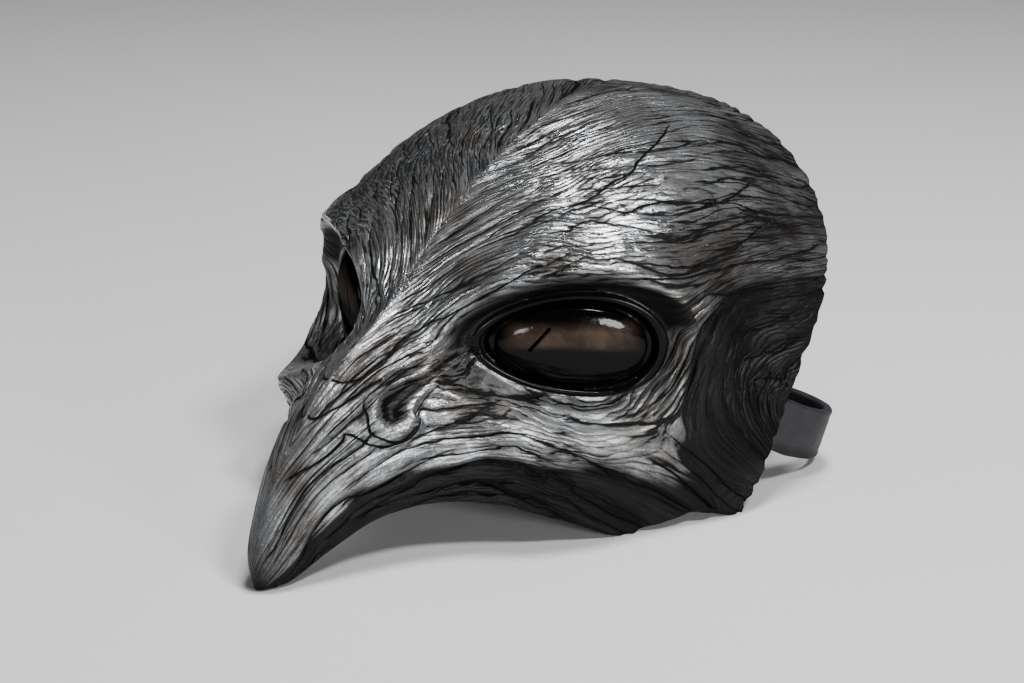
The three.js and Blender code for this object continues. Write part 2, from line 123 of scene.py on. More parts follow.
# How far the carving round the eye reaches, and what it does to the form
REACH = {"least": 1.42, "above": 0.36, "below": 0.2, "inner": 0.25}
SOCKET = {"floor": -1.0, "lid": 1.0, "near": 24, "far": 40}
ROLL = {"above": 5.0, "below": 1.8, "outer": 0.8, "width": 0.3, "wider_below": 0.12}
TEMPLE = {"y": 139, "long": 17, "z": 48, "high": 24, "from": 40, "full": 60, "depth": 8.5}
TEMPLE_RIM = {"from": 0.9, "loss": 0.75}
CREASE = {"z": 21, "high": 5, "from": (0.35, 0.5), "until": (0.68, 0.78), "depth": 1.6}
CHEEK = {"y": 119, "long": 13, "z": 14, "high": 9, "from": 50, "full": 65, "height": 2.2}
BOSS = {"ring": (1.15, 1.6), "depth": (8, 20)}
LID = {"radius": 1.0, "ring": 1.02, "height": 0.1}

# Corners of the lid: the angle round the eye, how wide each is and how far it is drawn out
LID_CORNERS = [
    (math.radians(184), 0.4, 0.03),
    (math.radians(302), 0.3, 0.045),
    (math.radians(348), 0.35, -0.04),
]

# Pocket of the lens, its see-through middle, and where the hollow behind the beak starts and is full
POCKET_RING = 0.94
POCKET_FLOOR = -3.0
SIGHT_RING = 0.68
CAVITY = (0.2, 0.36)

# Ring and height of each step of the pocket, inwards from the lid, and the lining's ring there
POCKET_STEPS = [(0.942, -0.6, 0.9), (POCKET_RING, POCKET_FLOOR, 0.8), (SIGHT_RING, POCKET_FLOOR, SIGHT_RING)]

# The eye field of the outer face, whose rows run in rings, and the lines of the whole sheet
FIELD_ROWS = (0.34, 0.86)
FIELD_SHARES = (0.06, 0.86)
EYE_AT = (0.57, 0.55)
ROW_COUNTS = (56, 124, 34)
COLUMN_COUNTS = (8, 96, 18)
OUTSIDE_RINGS = 38
REACH_RINGS = 22
REACH_CROWDING = 1.35
FIRST_REACH = 1.12
LAST_RING = 0.955
HALVINGS = 30

# The share of its faces that the plain lining keeps
LINING_SHARE = 0.58

# Within what distance points are one, on the chart of shares and in metres
MERGE_ON_CHART = 1e-5
MERGE = 1e-7


def smoothstep(x, low, high):
    """0 up to low, 1 from high on, and smooth between."""
    share = np.clip((x - low) / (high - low), 0, 1)
    return share * share * (3 - 2 * share)


def hump(x, width):
    """1 at nothing, falling away to both sides."""
    return np.exp(-((x / width) ** 2))


def smooth_through(values, s):
    """A smooth curve through rows of values, at each share s of the way along them."""
    last = len(values) - 1
    at = np.clip(s, 0, 1) * last
    i = np.minimum(at.astype(int), last - 1)
    f = (at - i)[:, None]
    a, b, c, d = (values[np.clip(i + k, 0, last)] for k in (-1, 0, 1, 2))
    square = 2 * a - 5 * b + 4 * c - d
    cube = 3 * b - a - 3 * c + d
    return b + 0.5 * ((c - a) * f + square * f**2 + cube * f**3)


def plain_form(rows, columns):
    """The left half of the form on an even grid, from tip to rim and from ridge to margin."""
    values = smooth_through(SECTIONS, np.linspace(0, 1, rows)).T[:, :, None]
    ridge_y, ridge_z, margin_x, margin_y, margin_z, half, widest, full = values
    q = np.linspace(0, 2, PROFILE_POINTS + 1)[None, :]
    angle = np.minimum(q, 1) * math.pi / 2
    g = np.maximum(q - 1, 0)
    knee = widest + KNEE * (1 - widest)
    above_x = half * np.sin(angle) ** (2 / full)
    above_down = widest * (1 - np.cos(angle) ** (2 / full))
    below_x = (1 - g * g) * half + g * g * margin_x
    below_down = (1 - g) ** 2 * widest + 2 * g * (1 - g) * knee + g * g
    x = np.where(q <= 1, above_x, below_x)
    down = np.where(q <= 1, above_down, below_down)
    x = np.concatenate([-x[:, :0:-1], x], axis=1)
    down = np.concatenate([down[:, :0:-1], down], axis=1)
    y = ridge_y + down * (margin_y - ridge_y)
    z = ridge_z + down * (margin_z - ridge_z)
    line = np.stack([x, y, z], axis=-1)
    for _ in range(PROFILE_SMOOTHING):
        line[:, 1:-1] = (line[:, :-2] + 2 * line[:, 1:-1] + line[:, 2:]) / 4
    line = line[:, PROFILE_POINTS:]
    steps = np.linalg.norm(np.diff(line, axis=1), axis=-1)
    run = np.concatenate([np.zeros((rows, 1)), np.cumsum(steps, axis=1)], axis=1)
    even = np.linspace(0, 1, columns)
    return np.array([
        [np.interp(even * length[-1], length, row[:, k]) for k in range(3)]
        for length, row in zip(run, line)
    ]).transpose(0, 2, 1)


def eye_frame(p):
    """Points of the form in the eye's plane: along, up and out."""
    d = p - EYE_CENTRE
    return d @ EYE_ALONG, d @ EYE_UP, d @ EYE_OUT


def eye_ring(u, v):
    """How far out a point of the eye's plane is, 1 at the lids, and its angle."""
    a = u / EYE_HALF_LENGTH
    b = (v - EYE_DROP - EYE_SLOPE * u) / (EYE_HALF_HEIGHT * (1 + EYE_EGG * u))
    return np.hypot(a, b), np.arctan2(b, a)


def from_eye_ring(ring, angle, w):
    """The point of the form at a ring and angle of the eye and a height over its plane."""
    u = EYE_HALF_LENGTH * ring * np.cos(angle)
    v = EYE_DROP + EYE_SLOPE * u + EYE_HALF_HEIGHT * (1 + EYE_EGG * u) * ring * np.sin(angle)
    return EYE_CENTRE + u[..., None] * EYE_ALONG + v[..., None] * EYE_UP + w[..., None] * EYE_OUT


def eye_reach(angle):
    """How far an angle is above, below and inwards of the eye, and the ring where its carving ends."""
    above = np.maximum(0, np.sin(angle)) ** 2
    below = np.maximum(0, -np.sin(angle)) ** 2
    inner = np.maximum(0, -np.cos(angle)) ** 2
    reach = REACH["least"] + REACH["above"] * above + REACH["below"] * below + REACH["inner"] * inner
    return above, below, inner, reach


def lid_ring(angle):
    """Where the crest of the lid runs: drawn out to the inner and the lower outer corner."""
    ring = LID["ring"]
    for corner, wide, reach in LID_CORNERS:
        ring = ring + reach * hump(np.angle(np.exp(1j * (angle - corner))), wide)
    return ring


def carved(p, s):
    """The plain form with its socket, brow, temple, crease and cheek."""
    u, v, w = eye_frame(p)
    ring, angle = eye_ring(u, v)
    above, below, inner, reach = eye_reach(angle)
    front = 1 - smoothstep(np.abs(w), SOCKET["near"], SOCKET["far"])
    socket = 1 - smoothstep(ring, SOCKET["lid"], reach)
    roll = ROLL["above"] * above + ROLL["below"] * below + ROLL["outer"] * (1 - above - below) * (1 - inner)
    rolled = roll * hump(ring - reach, ROLL["width"] + ROLL["wider_below"] * below)
    p = p + (((SOCKET["floor"] - w) * socket + rolled) * front)[..., None] * EYE_OUT
    temple = hump(p[..., 1] - TEMPLE["y"], TEMPLE["long"]) * hump(p[..., 2] - TEMPLE["z"], TEMPLE["high"])
    depth = TEMPLE["depth"] * smoothstep(p[..., 0], TEMPLE["from"], TEMPLE["full"])
    p[..., 0] -= depth * temple * (1 - TEMPLE_RIM["loss"] * smoothstep(s, TEMPLE_RIM["from"], 1))
    crease = smoothstep(s, *CREASE["from"]) * (1 - smoothstep(s, *CREASE["until"]))
    sunk = CREASE["depth"] * hump(p[..., 2] - CREASE["z"], CREASE["high"]) * crease * front
    p = p - sunk[..., None] * EYE_OUT
    cheek = hump(p[..., 1] - CHEEK["y"], CHEEK["long"]) * hump(p[..., 2] - CHEEK["z"], CHEEK["high"])
    p[..., 0] += CHEEK["height"] * cheek * smoothstep(p[..., 0], CHEEK["from"], CHEEK["full"])
    p[..., 2] = np.maximum(p[..., 2], 0)
    return p


def between(table, s, t):
    """An even table's value at any share s of its rows and t of its columns."""
    i = np.clip(s, 0, 1) * (table.shape[0] - 1)
    j = np.clip(t, 0, 1) * (table.shape[1] - 1)
    i0 = np.minimum(i.astype(int), table.shape[0] - 2)
    j0 = np.minimum(j.astype(int), table.shape[1] - 2)
    f, g = i - i0, j - j0
    if table.ndim == 3:
        f, g = f[..., None], g[..., None]
    upper = table[i0, j0] * (1 - g) + table[i0, j0 + 1] * g
    lower = table[i0 + 1, j0] * (1 - g) + table[i0 + 1, j0 + 1] * g
    return upper * (1 - f) + lower * f


TABLE_ROWS, TABLE_COLUMNS = 421, 241
table_s = np.linspace(0, 1, TABLE_ROWS)[:, None] * np.ones((1, TABLE_COLUMNS))
PLAIN = plain_form(TABLE_ROWS, TABLE_COLUMNS)
FACE = carved(PLAIN, table_s)
towards_rim = np.gradient(FACE, axis=0)
towards_margin = np.gradient(FACE, axis=1)
OUTWARD = np.cross(towards_margin, towards_rim)
OUTWARD /= np.linalg.norm(OUTWARD, axis=-1, keepdims=True) + TINY
OUTWARD[:, 0, 0] = 0
RIM_NORMAL = np.array([0.0, SECTIONS[-1, 1] - SECTIONS[-1, 4], SECTIONS[-1, 3] - SECTIONS[-1, 0]])
RIM_NORMAL /= np.linalg.norm(RIM_NORMAL)
SETBACK = FACE[..., 1].min() - solid_box[0].y / MM

# Grain of the bark-like relief: strokes along the grooves, as shares from tip to rim and from
# ridge to margin, each running back from the beak
GRAIN_STROKES = [
    [(0.05, 0.1), (0.13, 0.12), (0.3, 0.12), (0.44, 0.11), (0.52, 0.14)],
    [(0.58, 0.01), (0.65, 0.06), (0.71, 0.12), (0.78, 0.18), (0.85, 0.29), (0.93, 0.35), (0.99, 0.38)],
    [(0.66, 0.01), (0.74, 0.13), (0.79, 0.16), (0.85, 0.2), (0.9, 0.22), (0.97, 0.3)],
    [(0.76, 0.01), (0.85, 0.08), (0.91, 0.13), (0.97, 0.18)],
    [(0.85, 0.01), (0.91, 0.05), (0.97, 0.1)],
    [(0.5, 0.06), (0.55, 0.12), (0.61, 0.2), (0.67, 0.33), (0.79, 0.46), (0.88, 0.51)],
    [(0.3, 0.13), (0.38, 0.14), (0.48, 0.2), (0.56, 0.26), (0.65, 0.39), (0.76, 0.51), (0.94, 0.56)],
    [(0.53, 0.25), (0.58, 0.34), (0.64, 0.42), (0.74, 0.54), (0.81, 0.59), (0.98, 0.58)],
    [(0.06, 0.41), (0.16, 0.36), (0.23, 0.45), (0.31, 0.58), (0.45, 0.68), (0.62, 0.77), (0.71, 0.8)],
    [(0.05, 0.8), (0.15, 0.77), (0.25, 0.81), (0.39, 0.85), (0.53, 0.9), (0.66, 0.99)],
    [(0.4, 0.43), (0.47, 0.52), (0.52, 0.66), (0.6, 0.72), (0.67, 0.71), (0.72, 0.67), (0.75, 0.6),
     (0.82, 0.57)],
    [(0.46, 0.64), (0.52, 0.72), (0.63, 0.75), (0.71, 0.75), (0.75, 0.71), (0.77, 0.65), (0.83, 0.61),
     (0.92, 0.58)],
    [(0.49, 0.79), (0.6, 0.87), (0.69, 0.92), (0.76, 0.98)],
    [(0.72, 0.83), (0.79, 0.91), (0.88, 0.97)],
    [(0.9, 0.93), (0.81, 0.89), (0.77, 0.83), (0.76, 0.75), (0.77, 0.67), (0.87, 0.62), (0.98, 0.58)],
    [(0.9, 0.88), (0.85, 0.86), (0.81, 0.81), (0.79, 0.73), (0.82, 0.66), (0.91, 0.64), (0.98, 0.62)],
    [(0.91, 0.86), (0.88, 0.83), (0.89, 0.75), (0.93, 0.68), (0.98, 0.66)],
]
STROKE_STEPS = 4

# How far a stroke reaches in millimetres, what pulls beside it, and the grid that the grain is
# solved on, with how many rounds that takes, how strictly its lines keep to the strokes, and how
# many millimetres of it are 1 in the finishes
GRAIN_REACH = 11.0
FAR_PULL = 2e-3
PLAIN_PULL = 0.03
GRAIN_ROWS, GRAIN_COLUMNS = 141, 111
GRAIN_ROUNDS = 1500
KEEP_TO_GRAIN = 6.0
GRAIN_UNIT = 100


def grain_direction(centres, tangents):
    """Vectors along the grain at points of the face, from the strokes near them."""
    total = PLAIN_PULL * tangents / np.linalg.norm(tangents, axis=-1, keepdims=True)
    for stroke in GRAIN_STROKES:
        s, t = np.array(stroke).T
        fine = np.linspace(0, len(stroke) - 1, STROKE_STEPS * len(stroke))
        on = between(FACE, np.interp(fine, range(len(s)), s), np.interp(fine, range(len(t)), t))
        for start, end in zip(on, on[1:]):
            away = np.linalg.norm(centres - (start + end) / 2, axis=-1)
            weight = hump(away, GRAIN_REACH) + FAR_PULL * np.exp(-away / GRAIN_REACH)
            total = total + weight[..., None] * (end - start) / np.linalg.norm(end - start)
    return total


def grain_distances():
    """Distances across and along the grain in millimetres, which keep their lines to it."""
    s = np.linspace(0, 1, GRAIN_ROWS)[:, None] * np.ones((1, GRAIN_COLUMNS))
    t = np.linspace(0, 1, GRAIN_COLUMNS)[None, :] * np.ones((GRAIN_ROWS, 1))
    p = between(FACE, s, t)
    by_s = (p[1:, :-1] - p[:-1, :-1]) * (GRAIN_ROWS - 1)
    by_t = (p[:-1, 1:] - p[:-1, :-1]) * (GRAIN_COLUMNS - 1)
    normal = np.cross(by_t, by_s)
    area = np.linalg.norm(normal, axis=-1)
    normal /= area[..., None] + TINY
    along = grain_direction(p[:-1, :-1], by_s)
    along -= (along * normal).sum(-1, keepdims=True) * normal
    along /= np.linalg.norm(along, axis=-1, keepdims=True) + TINY
    across = np.cross(along, normal)
    across *= np.sign((across * by_t).sum(-1, keepdims=True).mean())
    ss, st, tt = (by_s * by_s).sum(-1), (by_s * by_t).sum(-1), (by_t * by_t).sum(-1)
    spread = ss * tt - st * st + SLIGHT

    def in_shares(v):
        """A vector's parts from tip to rim and from ridge to margin."""
        vs, vt = (v * by_s).sum(-1), (v * by_t).sum(-1)
        return (tt * vs - st * vt) / spread, (ss * vt - st * vs) / spread

    def solved(flat_way, rising_way):
        """Least squares, by conjugate gradients: a height that rises along one way only."""
        root = np.sqrt(area / area.mean())
        flat = [KEEP_TO_GRAIN * root * k for k in in_shares(flat_way)]
        rising = [root * k for k in in_shares(rising_way)]

        def forward(f):
            """How a height rises along both ways, each with its weight."""
            fs = (f[1:, :-1] - f[:-1, :-1]) * (GRAIN_ROWS - 1)
            ft = (f[:-1, 1:] - f[:-1, :-1]) * (GRAIN_COLUMNS - 1)
            return flat[0] * fs + flat[1] * ft, rising[0] * fs + rising[1] * ft

        def backward(a, b):
            """The same weights the other way, gathered at the grid's points."""
            gs = (flat[0] * a + rising[0] * b) * (GRAIN_ROWS - 1)
            gt = (flat[1] * a + rising[1] * b) * (GRAIN_COLUMNS - 1)
            out = np.zeros((GRAIN_ROWS, GRAIN_COLUMNS))
            out[1:, :-1] += gs
            out[:-1, 1:] += gt
            out[:-1, :-1] -= gs + gt
            return out

        scale = np.zeros((GRAIN_ROWS, GRAIN_COLUMNS))
        for way in (flat, rising):
            gs, gt = way[0] * (GRAIN_ROWS - 1), way[1] * (GRAIN_COLUMNS - 1)
            scale[1:, :-1] += gs**2
            scale[:-1, 1:] += gt**2
            scale[:-1, :-1] += (gs + gt) ** 2
        scale += scale.mean() * SLIGHT
        f = np.zeros_like(scale)
        left = backward(np.zeros_like(root), root)
        step = left / scale
        size = (left * step).sum()
        for _ in range(GRAIN_ROUNDS):
            ahead = backward(*forward(step))
            stride = size / ((step * ahead).sum() + VANISHING)
            f += stride * step
            left = left - stride * ahead
            eased = left / scale
            new_size = (left * eased).sum()
            step = eased + new_size / (size + VANISHING) * step
            size = new_size
        return f

    return solved(along, across), solved(across, along)


ACROSS, ALONG = grain_distances()

# The nostril: a pit drawn out into a channel that ends at the eye's inner corner. Its width and
# depth at both ends and its lip are in millimetres, and places across it are in widths
NOSTRIL_PATH = [(0.335, 0.385), (0.345, 0.352), (0.375, 0.337), (0.42, 0.335), (0.455, 0.346), (0.486, 0.4)]
NOSTRIL = {"width": (3.6, 1.5), "depth": (2.6, 0.9), "narrows": (0.1, 0.7), "wall": (0.15, 1.2)}
NOSTRIL_LIP = {"height": 0.9, "at": 1.65, "wide": 0.6, "fades": (0.3, 0.8)}
NOSTRIL_DIP = {"depth": 0.45, "at": 2.8, "wide": 0.5}
NOSTRIL_RINGS = {
    "at": 2.3, "wave": 0.22, "over": (6, 5), "inner": (0.02, 0.2),
    "clear": (0.9, 1.9), "until": 6, "seed": 41,
}

# Grooves along the grain, all in millimetres: how far apart, how wide and deep, how wide the sharp
# line at the bottom is, how much they sway over a long and a short way, and how long each runs
FOLD = {
    "spacing": 6.6, "width": 1.5, "depth": 1.15, "line": 0.38,
    "sway": 5.0, "ripple": 1.5, "length": 34, "seed": 3,
}
CRACK = {
    "spacing": 3.7, "width": 0.9, "depth": 0.65, "line": 0.3,
    "sway": 4.2, "ripple": 1.2, "length": 20, "seed": 13,
}
FLANK = {
    "spacing": 4.4, "width": 1.2, "depth": 0.95, "line": 0.4,
    "sway": 2.4, "ripple": 0.9, "length": 26, "seed": 33,
}
HAIR = {"spacing": 1.5, "sway": 4.0, "ripple": 1.3, "length": 12, "seed": 23}
SWAY_OVER = (26, 32)
RIPPLE_OVER = (8, 13)
KEPT_FROM = (-0.4, 0.1)
INDEX_STEP = 0.618

# The larger cracks of the face, the fold that parts cheek from temple, and the sharp edges of the
# temple's hollow and of the brow, as shares from tip to rim and from ridge to margin
LARGE_CRACKS = [
    [(0.87, 0.207), (0.833, 0.234), (0.799, 0.248), (0.774, 0.26), (0.747, 0.255), (0.71, 0.249),
     (0.675, 0.224)],
    [(0.9, 0.388), (0.867, 0.409), (0.827, 0.413), (0.796, 0.402)],
    [(0.903, 0.474), (0.877, 0.493), (0.849, 0.51)],
    [(0.718, 0.325), (0.754, 0.338), (0.8, 0.382), (0.831, 0.411), (0.862, 0.426), (0.901, 0.461),
     (1.0, 0.475)],
    [(0.664, 0.435), (0.73, 0.484), (0.779, 0.518), (0.828, 0.541), (0.9, 0.55), (0.946, 0.538),
     (0.98, 0.52)],
    [(0.779, 0.558), (0.835, 0.596), (0.873, 0.6), (0.908, 0.597), (0.945, 0.587), (1.0, 0.58)],
    [(0.692, 0.363), (0.741, 0.415), (0.775, 0.449), (0.807, 0.46), (0.846, 0.471), (0.898, 0.465)],
    [(0.265, 0.27), (0.273, 0.335), (0.28, 0.419), (0.291, 0.504), (0.317, 0.545), (0.336, 0.536),
     (0.354, 0.512)],
    [(0.315, 0.005), (0.318, 0.064), (0.332, 0.126), (0.36, 0.152), (0.396, 0.16)],
    [(0.262, 0.005), (0.26, 0.062), (0.282, 0.126), (0.302, 0.168), (0.334, 0.194), (0.365, 0.221)],
    [(0.173, 0.09), (0.199, 0.198), (0.223, 0.269), (0.25, 0.3), (0.265, 0.3)],
]
LARGE_CRACK = {"width": 0.9, "depth": 0.85, "line": 0.42, "reach": 5, "ends": 0.1, "until": 4, "none": 9.0}
CHEEK_FOLD = [
    (0.7, 0.77), (0.745, 0.82), (0.782, 0.862), (0.823, 0.908),
    (0.877, 0.948), (0.965, 0.975), (1.0, 0.985),
]
CHEEK_FOLD_REACH = (7, 15)
CHEEK_FOLD_START = (0.02, 0.3)
TEMPLE_EDGE = [
    (0.86, 0.6), (0.794, 0.606), (0.767, 0.625), (0.754, 0.675),
    (0.752, 0.726), (0.756, 0.774), (0.775, 0.83),
]
TEMPLE_STEP = 1.5
BROW_EDGE = [
    (0.489, 0.372), (0.532, 0.353), (0.574, 0.378), (0.628, 0.424),
    (0.684, 0.474), (0.737, 0.535), (0.8, 0.597),
]
BROW_STEP = 0.9
STEP = {"ends": 0.12, "drop": (-0.3, 1.4), "rise": (2.5, 9.0)}

# Where the relief settles at the beak's margin, and how the crown drops towards the rim
SETTLES = 0.965
CROWN = {"drop": 0.25, "from": 0.9, "across": 0.2}

# Curves on the face: steps along one, how far from it points are looked at, and what is far away
CURVE_STEPS = 160
CURVE_REACH = 20
FAR_AWAY = 99.0

# Smooth noise: cells before it repeats, and what brings it to about -1 to 1
NOISE_CELLS = 97
NOISE_GAIN = 1.6

# Zones of relief and finish. A pair gives where a zone's edge starts and where it is whole, as
# shares from tip to rim, or from ridge to margin where the name says across
TIP_ENDS = (0.05, 0.22)
TIP_DARK = (0.005, 0.1)
BEAK_ENDS = (0.3, 0.5)
HAIR_STARTS = (0.28, 0.48)
REAR = {"starts": (0.74, 0.92), "across": (0.08, 0.3), "middle": 0.4, "sides": 0.3}
RIDGE = {"starts": (0.5, 0.7), "across": (0, 0.1)}
CHEEK_ZONE = {"starts": (0.43, 0.49), "ends": (0.7, 0.76), "across": (0.44, 0.52)}
CREST_WIDTH = (0.5, 4.5)
# Painted shade: the underside below this line, which faces down, and the temple behind its edge and above the
# line after it
DARK_UNDERSIDE = [
    (0.18, 0.65), (0.227, 0.666), (0.282, 0.693), (0.364, 0.753), (0.465, 0.78),
    (0.524, 0.806), (0.591, 0.815), (0.676, 0.842), (0.773, 0.898), (1.0, 0.9),
]
UNDERSIDE_EDGE = (-0.01, 0.04)
TEMPLE_TOP = [(0.79, 0.6), (0.82, 0.59), (0.87, 0.58), (1.0, 0.57)]
TEMPLE_ZONE = {"behind": (-0.5, 1.5), "span": 20, "turn": (0.79, 0.83), "top": (-0.02, 0.03)}
LID_ZONE = {"from": 1.07, "until": 1.12, "wider_above": 0.15}
# The rim outside the lids takes a painted highlight; the hollow round the eye and the slope under the brow
# take painted shade, and the lids are black
OUTER_LID = {"ring": 1.25, "wide": 0.25, "towards": (0, 0.8)}
HOLLOW = {"ring": (0.72, 0.98), "inner": 0.55, "above": (0.1, 0.5), "below": (0.06, 0.22)}
BROW_SHADE = {"behind": (-0.2, 1.2), "above": (0.02, 0.15), "until": 12}

# Soft spots of the finish: how strong, where on the chart and how wide. The polished spot on the brow,
# smoother there, also takes a painted highlight
POLISHED_HIGHLIGHT = (1, (0.67, 0.36), (0.07, 0.09))
BROWN_SPOTS = [
    (0.9, (0.9, 0.5), (0.11, 0.09)),
    (0.8, (0.88, 0.89), (0.06, 0.03)),
    (0.5, (0.46, 0.28), (0.06, 0.07)),
]

# How deep the grooves are, how bright the ridges and how many the hairs, and what each zone changes. The brow
# spot, the cheek shelf and the rim outside the lids are brightened as painted highlights, and the underside
# and the temple darkened as painted shade
STRENGTH = {
    "plain": 0.8, "underside": 0.5, "temple": 0.25,
    "tip": 0.35, "polish_and_highlight": 0.35, "hollow": 0.85, "crest": 0.75,
}
BRIGHT = {"plain": 0.85, "polish_and_highlight": 0.2, "outer_lid": 0.3, "ridge": 0.2, "beak": 0.36, "tip": 0.2}
# Painted shade on the underside and in the temple: how much of the ridges' brightness they lose
PAINTED_SHADE = {"underside": 0.985, "temple": 0.99}
HAIRS = {"beak": 0.25, "behind": 0.75, "crest": 0.8}


def noise(x, y, seed):
    """Smooth noise between about -1 and 1."""
    turns = np.random.default_rng(seed).uniform(0, 2 * math.pi, (NOISE_CELLS, NOISE_CELLS))
    i, j = np.floor(x).astype(int), np.floor(y).astype(int)
    f, g = x - i, y - j

    def pull(di, dj):
        """What one corner of the cell gives."""
        turn = turns[(i + di) % NOISE_CELLS, (j + dj) % NOISE_CELLS]
        return np.cos(turn) * (f - di) + np.sin(turn) * (g - dj)

    ease_f, ease_g = (k**3 * (k * (6 * k - 15) + 10) for k in (f, g))
    near = pull(0, 0) * (1 - ease_f) + pull(1, 0) * ease_f
    far = pull(0, 1) * (1 - ease_f) + pull(1, 1) * ease_f
    return NOISE_GAIN * (near * (1 - ease_g) + far * ease_g)


def noise_over(across, along, lengths, seed):
    """Smooth noise whose cells have the lengths given, in millimetres."""
    return noise(across / lengths[0], along / lengths[1], seed)


def grooves(across, along, kind):
    """Which groove of a kind is near, as a phase that is whole on each, and how far it is kept."""
    sway = kind["sway"] * noise_over(across, along, SWAY_OVER, kind["seed"])
    sway = sway + kind["ripple"] * noise_over(across, along, RIPPLE_OVER, kind["seed"] + 1)
    phase = (across + sway) / kind["spacing"]
    kept = noise(np.round(phase) * INDEX_STEP, along / kind["length"], kind["seed"] + 2)
    return phase, smoothstep(kept, *KEPT_FROM)


def cut_depth(phase, keep, kind):
    """How deep a kind of groove is cut, from its phase."""
    return kind["depth"] * (keep * hump((phase - np.round(phase)) * kind["spacing"], kind["width"]))


def nearest_on(path, p, reach=CURVE_REACH):
    """Distance of points from a path, more than 0 to its margin side, and how far along it they are."""
    s, t = smooth_through(np.array(path), np.linspace(0, 1, CURVE_STEPS)).T
    line = between(FACE, s, t)
    across = np.cross(np.gradient(line, axis=0), between(OUTWARD, s, t))
    away, share = np.full(len(p), FAR_AWAY), np.zeros(len(p))
    reach = reach + np.linalg.norm(line - line.mean(axis=0), axis=-1).max()
    close = np.flatnonzero(np.linalg.norm(p - line.mean(axis=0), axis=-1) < reach)
    gaps = np.linalg.norm(p[close, None] - line[None], axis=-1)
    nearest = gaps.argmin(axis=1)
    side = ((p[close] - line[nearest]) * across[nearest]).sum(-1)
    away[close] = gaps.min(axis=1) * np.where(side < 0, -1, 1)
    share[close] = nearest / (len(line) - 1)
    return away, share


def faded_ends(share, fade):
    """1 along the middle of a path, down to 0 at both its ends."""
    return smoothstep(share, 0, fade) * (1 - smoothstep(share, 1 - fade, 1))


def step_down(away, share, depth):
    """A sharp edge: how far the surface drops behind it before it rises back."""
    ends = faded_ends(share, STEP["ends"])
    return depth * ends * smoothstep(away, *STEP["drop"]) * (1 - smoothstep(away, *STEP["rise"]))


def past_line(s, t, line, edge):
    """1 on the margin side of a line across the chart, 0 on its ridge side."""
    return smoothstep(t - np.interp(s, *np.array(line).T), *edge)


def spot(s, t, strength, at, size):
    """A soft round patch of the chart, strongest at its middle."""
    return strength * hump(s - at[0], size[0]) * hump(t - at[1], size[1])


def nostril_shape(p):
    """Depth of the pit, height of its lip, distance from it and how marked the rings round it are."""
    side, share = nearest_on(NOSTRIL_PATH, p)
    away = np.abs(side)
    narrowing = smoothstep(share, *NOSTRIL["narrows"])
    width, depth = (start + (end - start) * narrowing for start, end in (NOSTRIL["width"], NOSTRIL["depth"]))
    low, high = NOSTRIL["wall"]
    pit = depth * (1 - smoothstep(away, low * width, high * width))
    fading = 1 - smoothstep(share, *NOSTRIL_LIP["fades"])
    lip = NOSTRIL_LIP["height"] * hump(away - NOSTRIL_LIP["at"] * width, NOSTRIL_LIP["wide"] * width)
    dip = NOSTRIL_DIP["depth"] * hump(away - NOSTRIL_DIP["at"] * width, NOSTRIL_DIP["wide"] * width)
    wavy = NOSTRIL_RINGS["wave"] * noise_over(p[:, 0], p[:, 2], NOSTRIL_RINGS["over"], NOSTRIL_RINGS["seed"])
    marked = fading * np.where(side > 0, 1, 1 - smoothstep(share, *NOSTRIL_RINGS["inner"]))
    return pit, (lip - dip) * fading, away / width + wavy, marked


def eye_zones(s, t, from_brow):
    """Where the black lids, the painted shade in the hollow round the eye and under the brow, and the rim
    outside the lids with its painted highlight lie.
    """
    u, v, w = eye_frame(between(PLAIN, s, t))
    ring, angle = eye_ring(u, v)
    above, _, inner, reach = eye_reach(angle)
    near_eye = 1 - smoothstep(np.abs(w), SOCKET["near"], SOCKET["far"])
    lid_end = LID_ZONE["until"] + LID_ZONE["wider_above"] * above
    lid = near_eye * (1 - smoothstep(ring, LID_ZONE["from"], lid_end))
    sunk = near_eye * (1 - smoothstep(ring / reach, *HOLLOW["ring"]))
    hollow = sunk * smoothstep(above + HOLLOW["inner"] * inner, *HOLLOW["above"])
    hollow = hollow * (1 - smoothstep(-np.sin(angle), *HOLLOW["below"]))
    shade = near_eye * smoothstep(from_brow, *BROW_SHADE["behind"]) * (ring < reach)
    shade = shade * smoothstep(above, *BROW_SHADE["above"]) * (from_brow < BROW_SHADE["until"])
    towards = smoothstep(np.cos(angle) - np.sin(angle), *OUTER_LID["towards"])
    outer_lid = hump(ring - OUTER_LID["ring"], OUTER_LID["wide"]) * towards * near_eye
    return lid, np.maximum(hollow, shade), outer_lid


def painted_shade_zones(s, t, from_temple):
    """Where the painted shade lies: on the underside, which faces down, and in the temple's hollow."""
    underside = past_line(s, t, DARK_UNDERSIDE, UNDERSIDE_EDGE)
    behind = smoothstep(-from_temple, *TEMPLE_ZONE["behind"]) * (from_temple > -TEMPLE_ZONE["span"])
    behind = behind * (s < TEMPLE_ZONE["turn"][1])
    beyond = smoothstep(s, *TEMPLE_ZONE["turn"]) * past_line(s, t, TEMPLE_TOP, TEMPLE_ZONE["top"])
    return underside, np.maximum(behind, beyond)


def cheek_zone(s, t):
    """Where the shelf of the cheek lies, which is worn to a satin finish and takes a painted highlight."""
    along = smoothstep(s, *CHEEK_ZONE["starts"]) * (1 - smoothstep(s, *CHEEK_ZONE["ends"]))
    return along * smoothstep(t, *CHEEK_ZONE["across"])


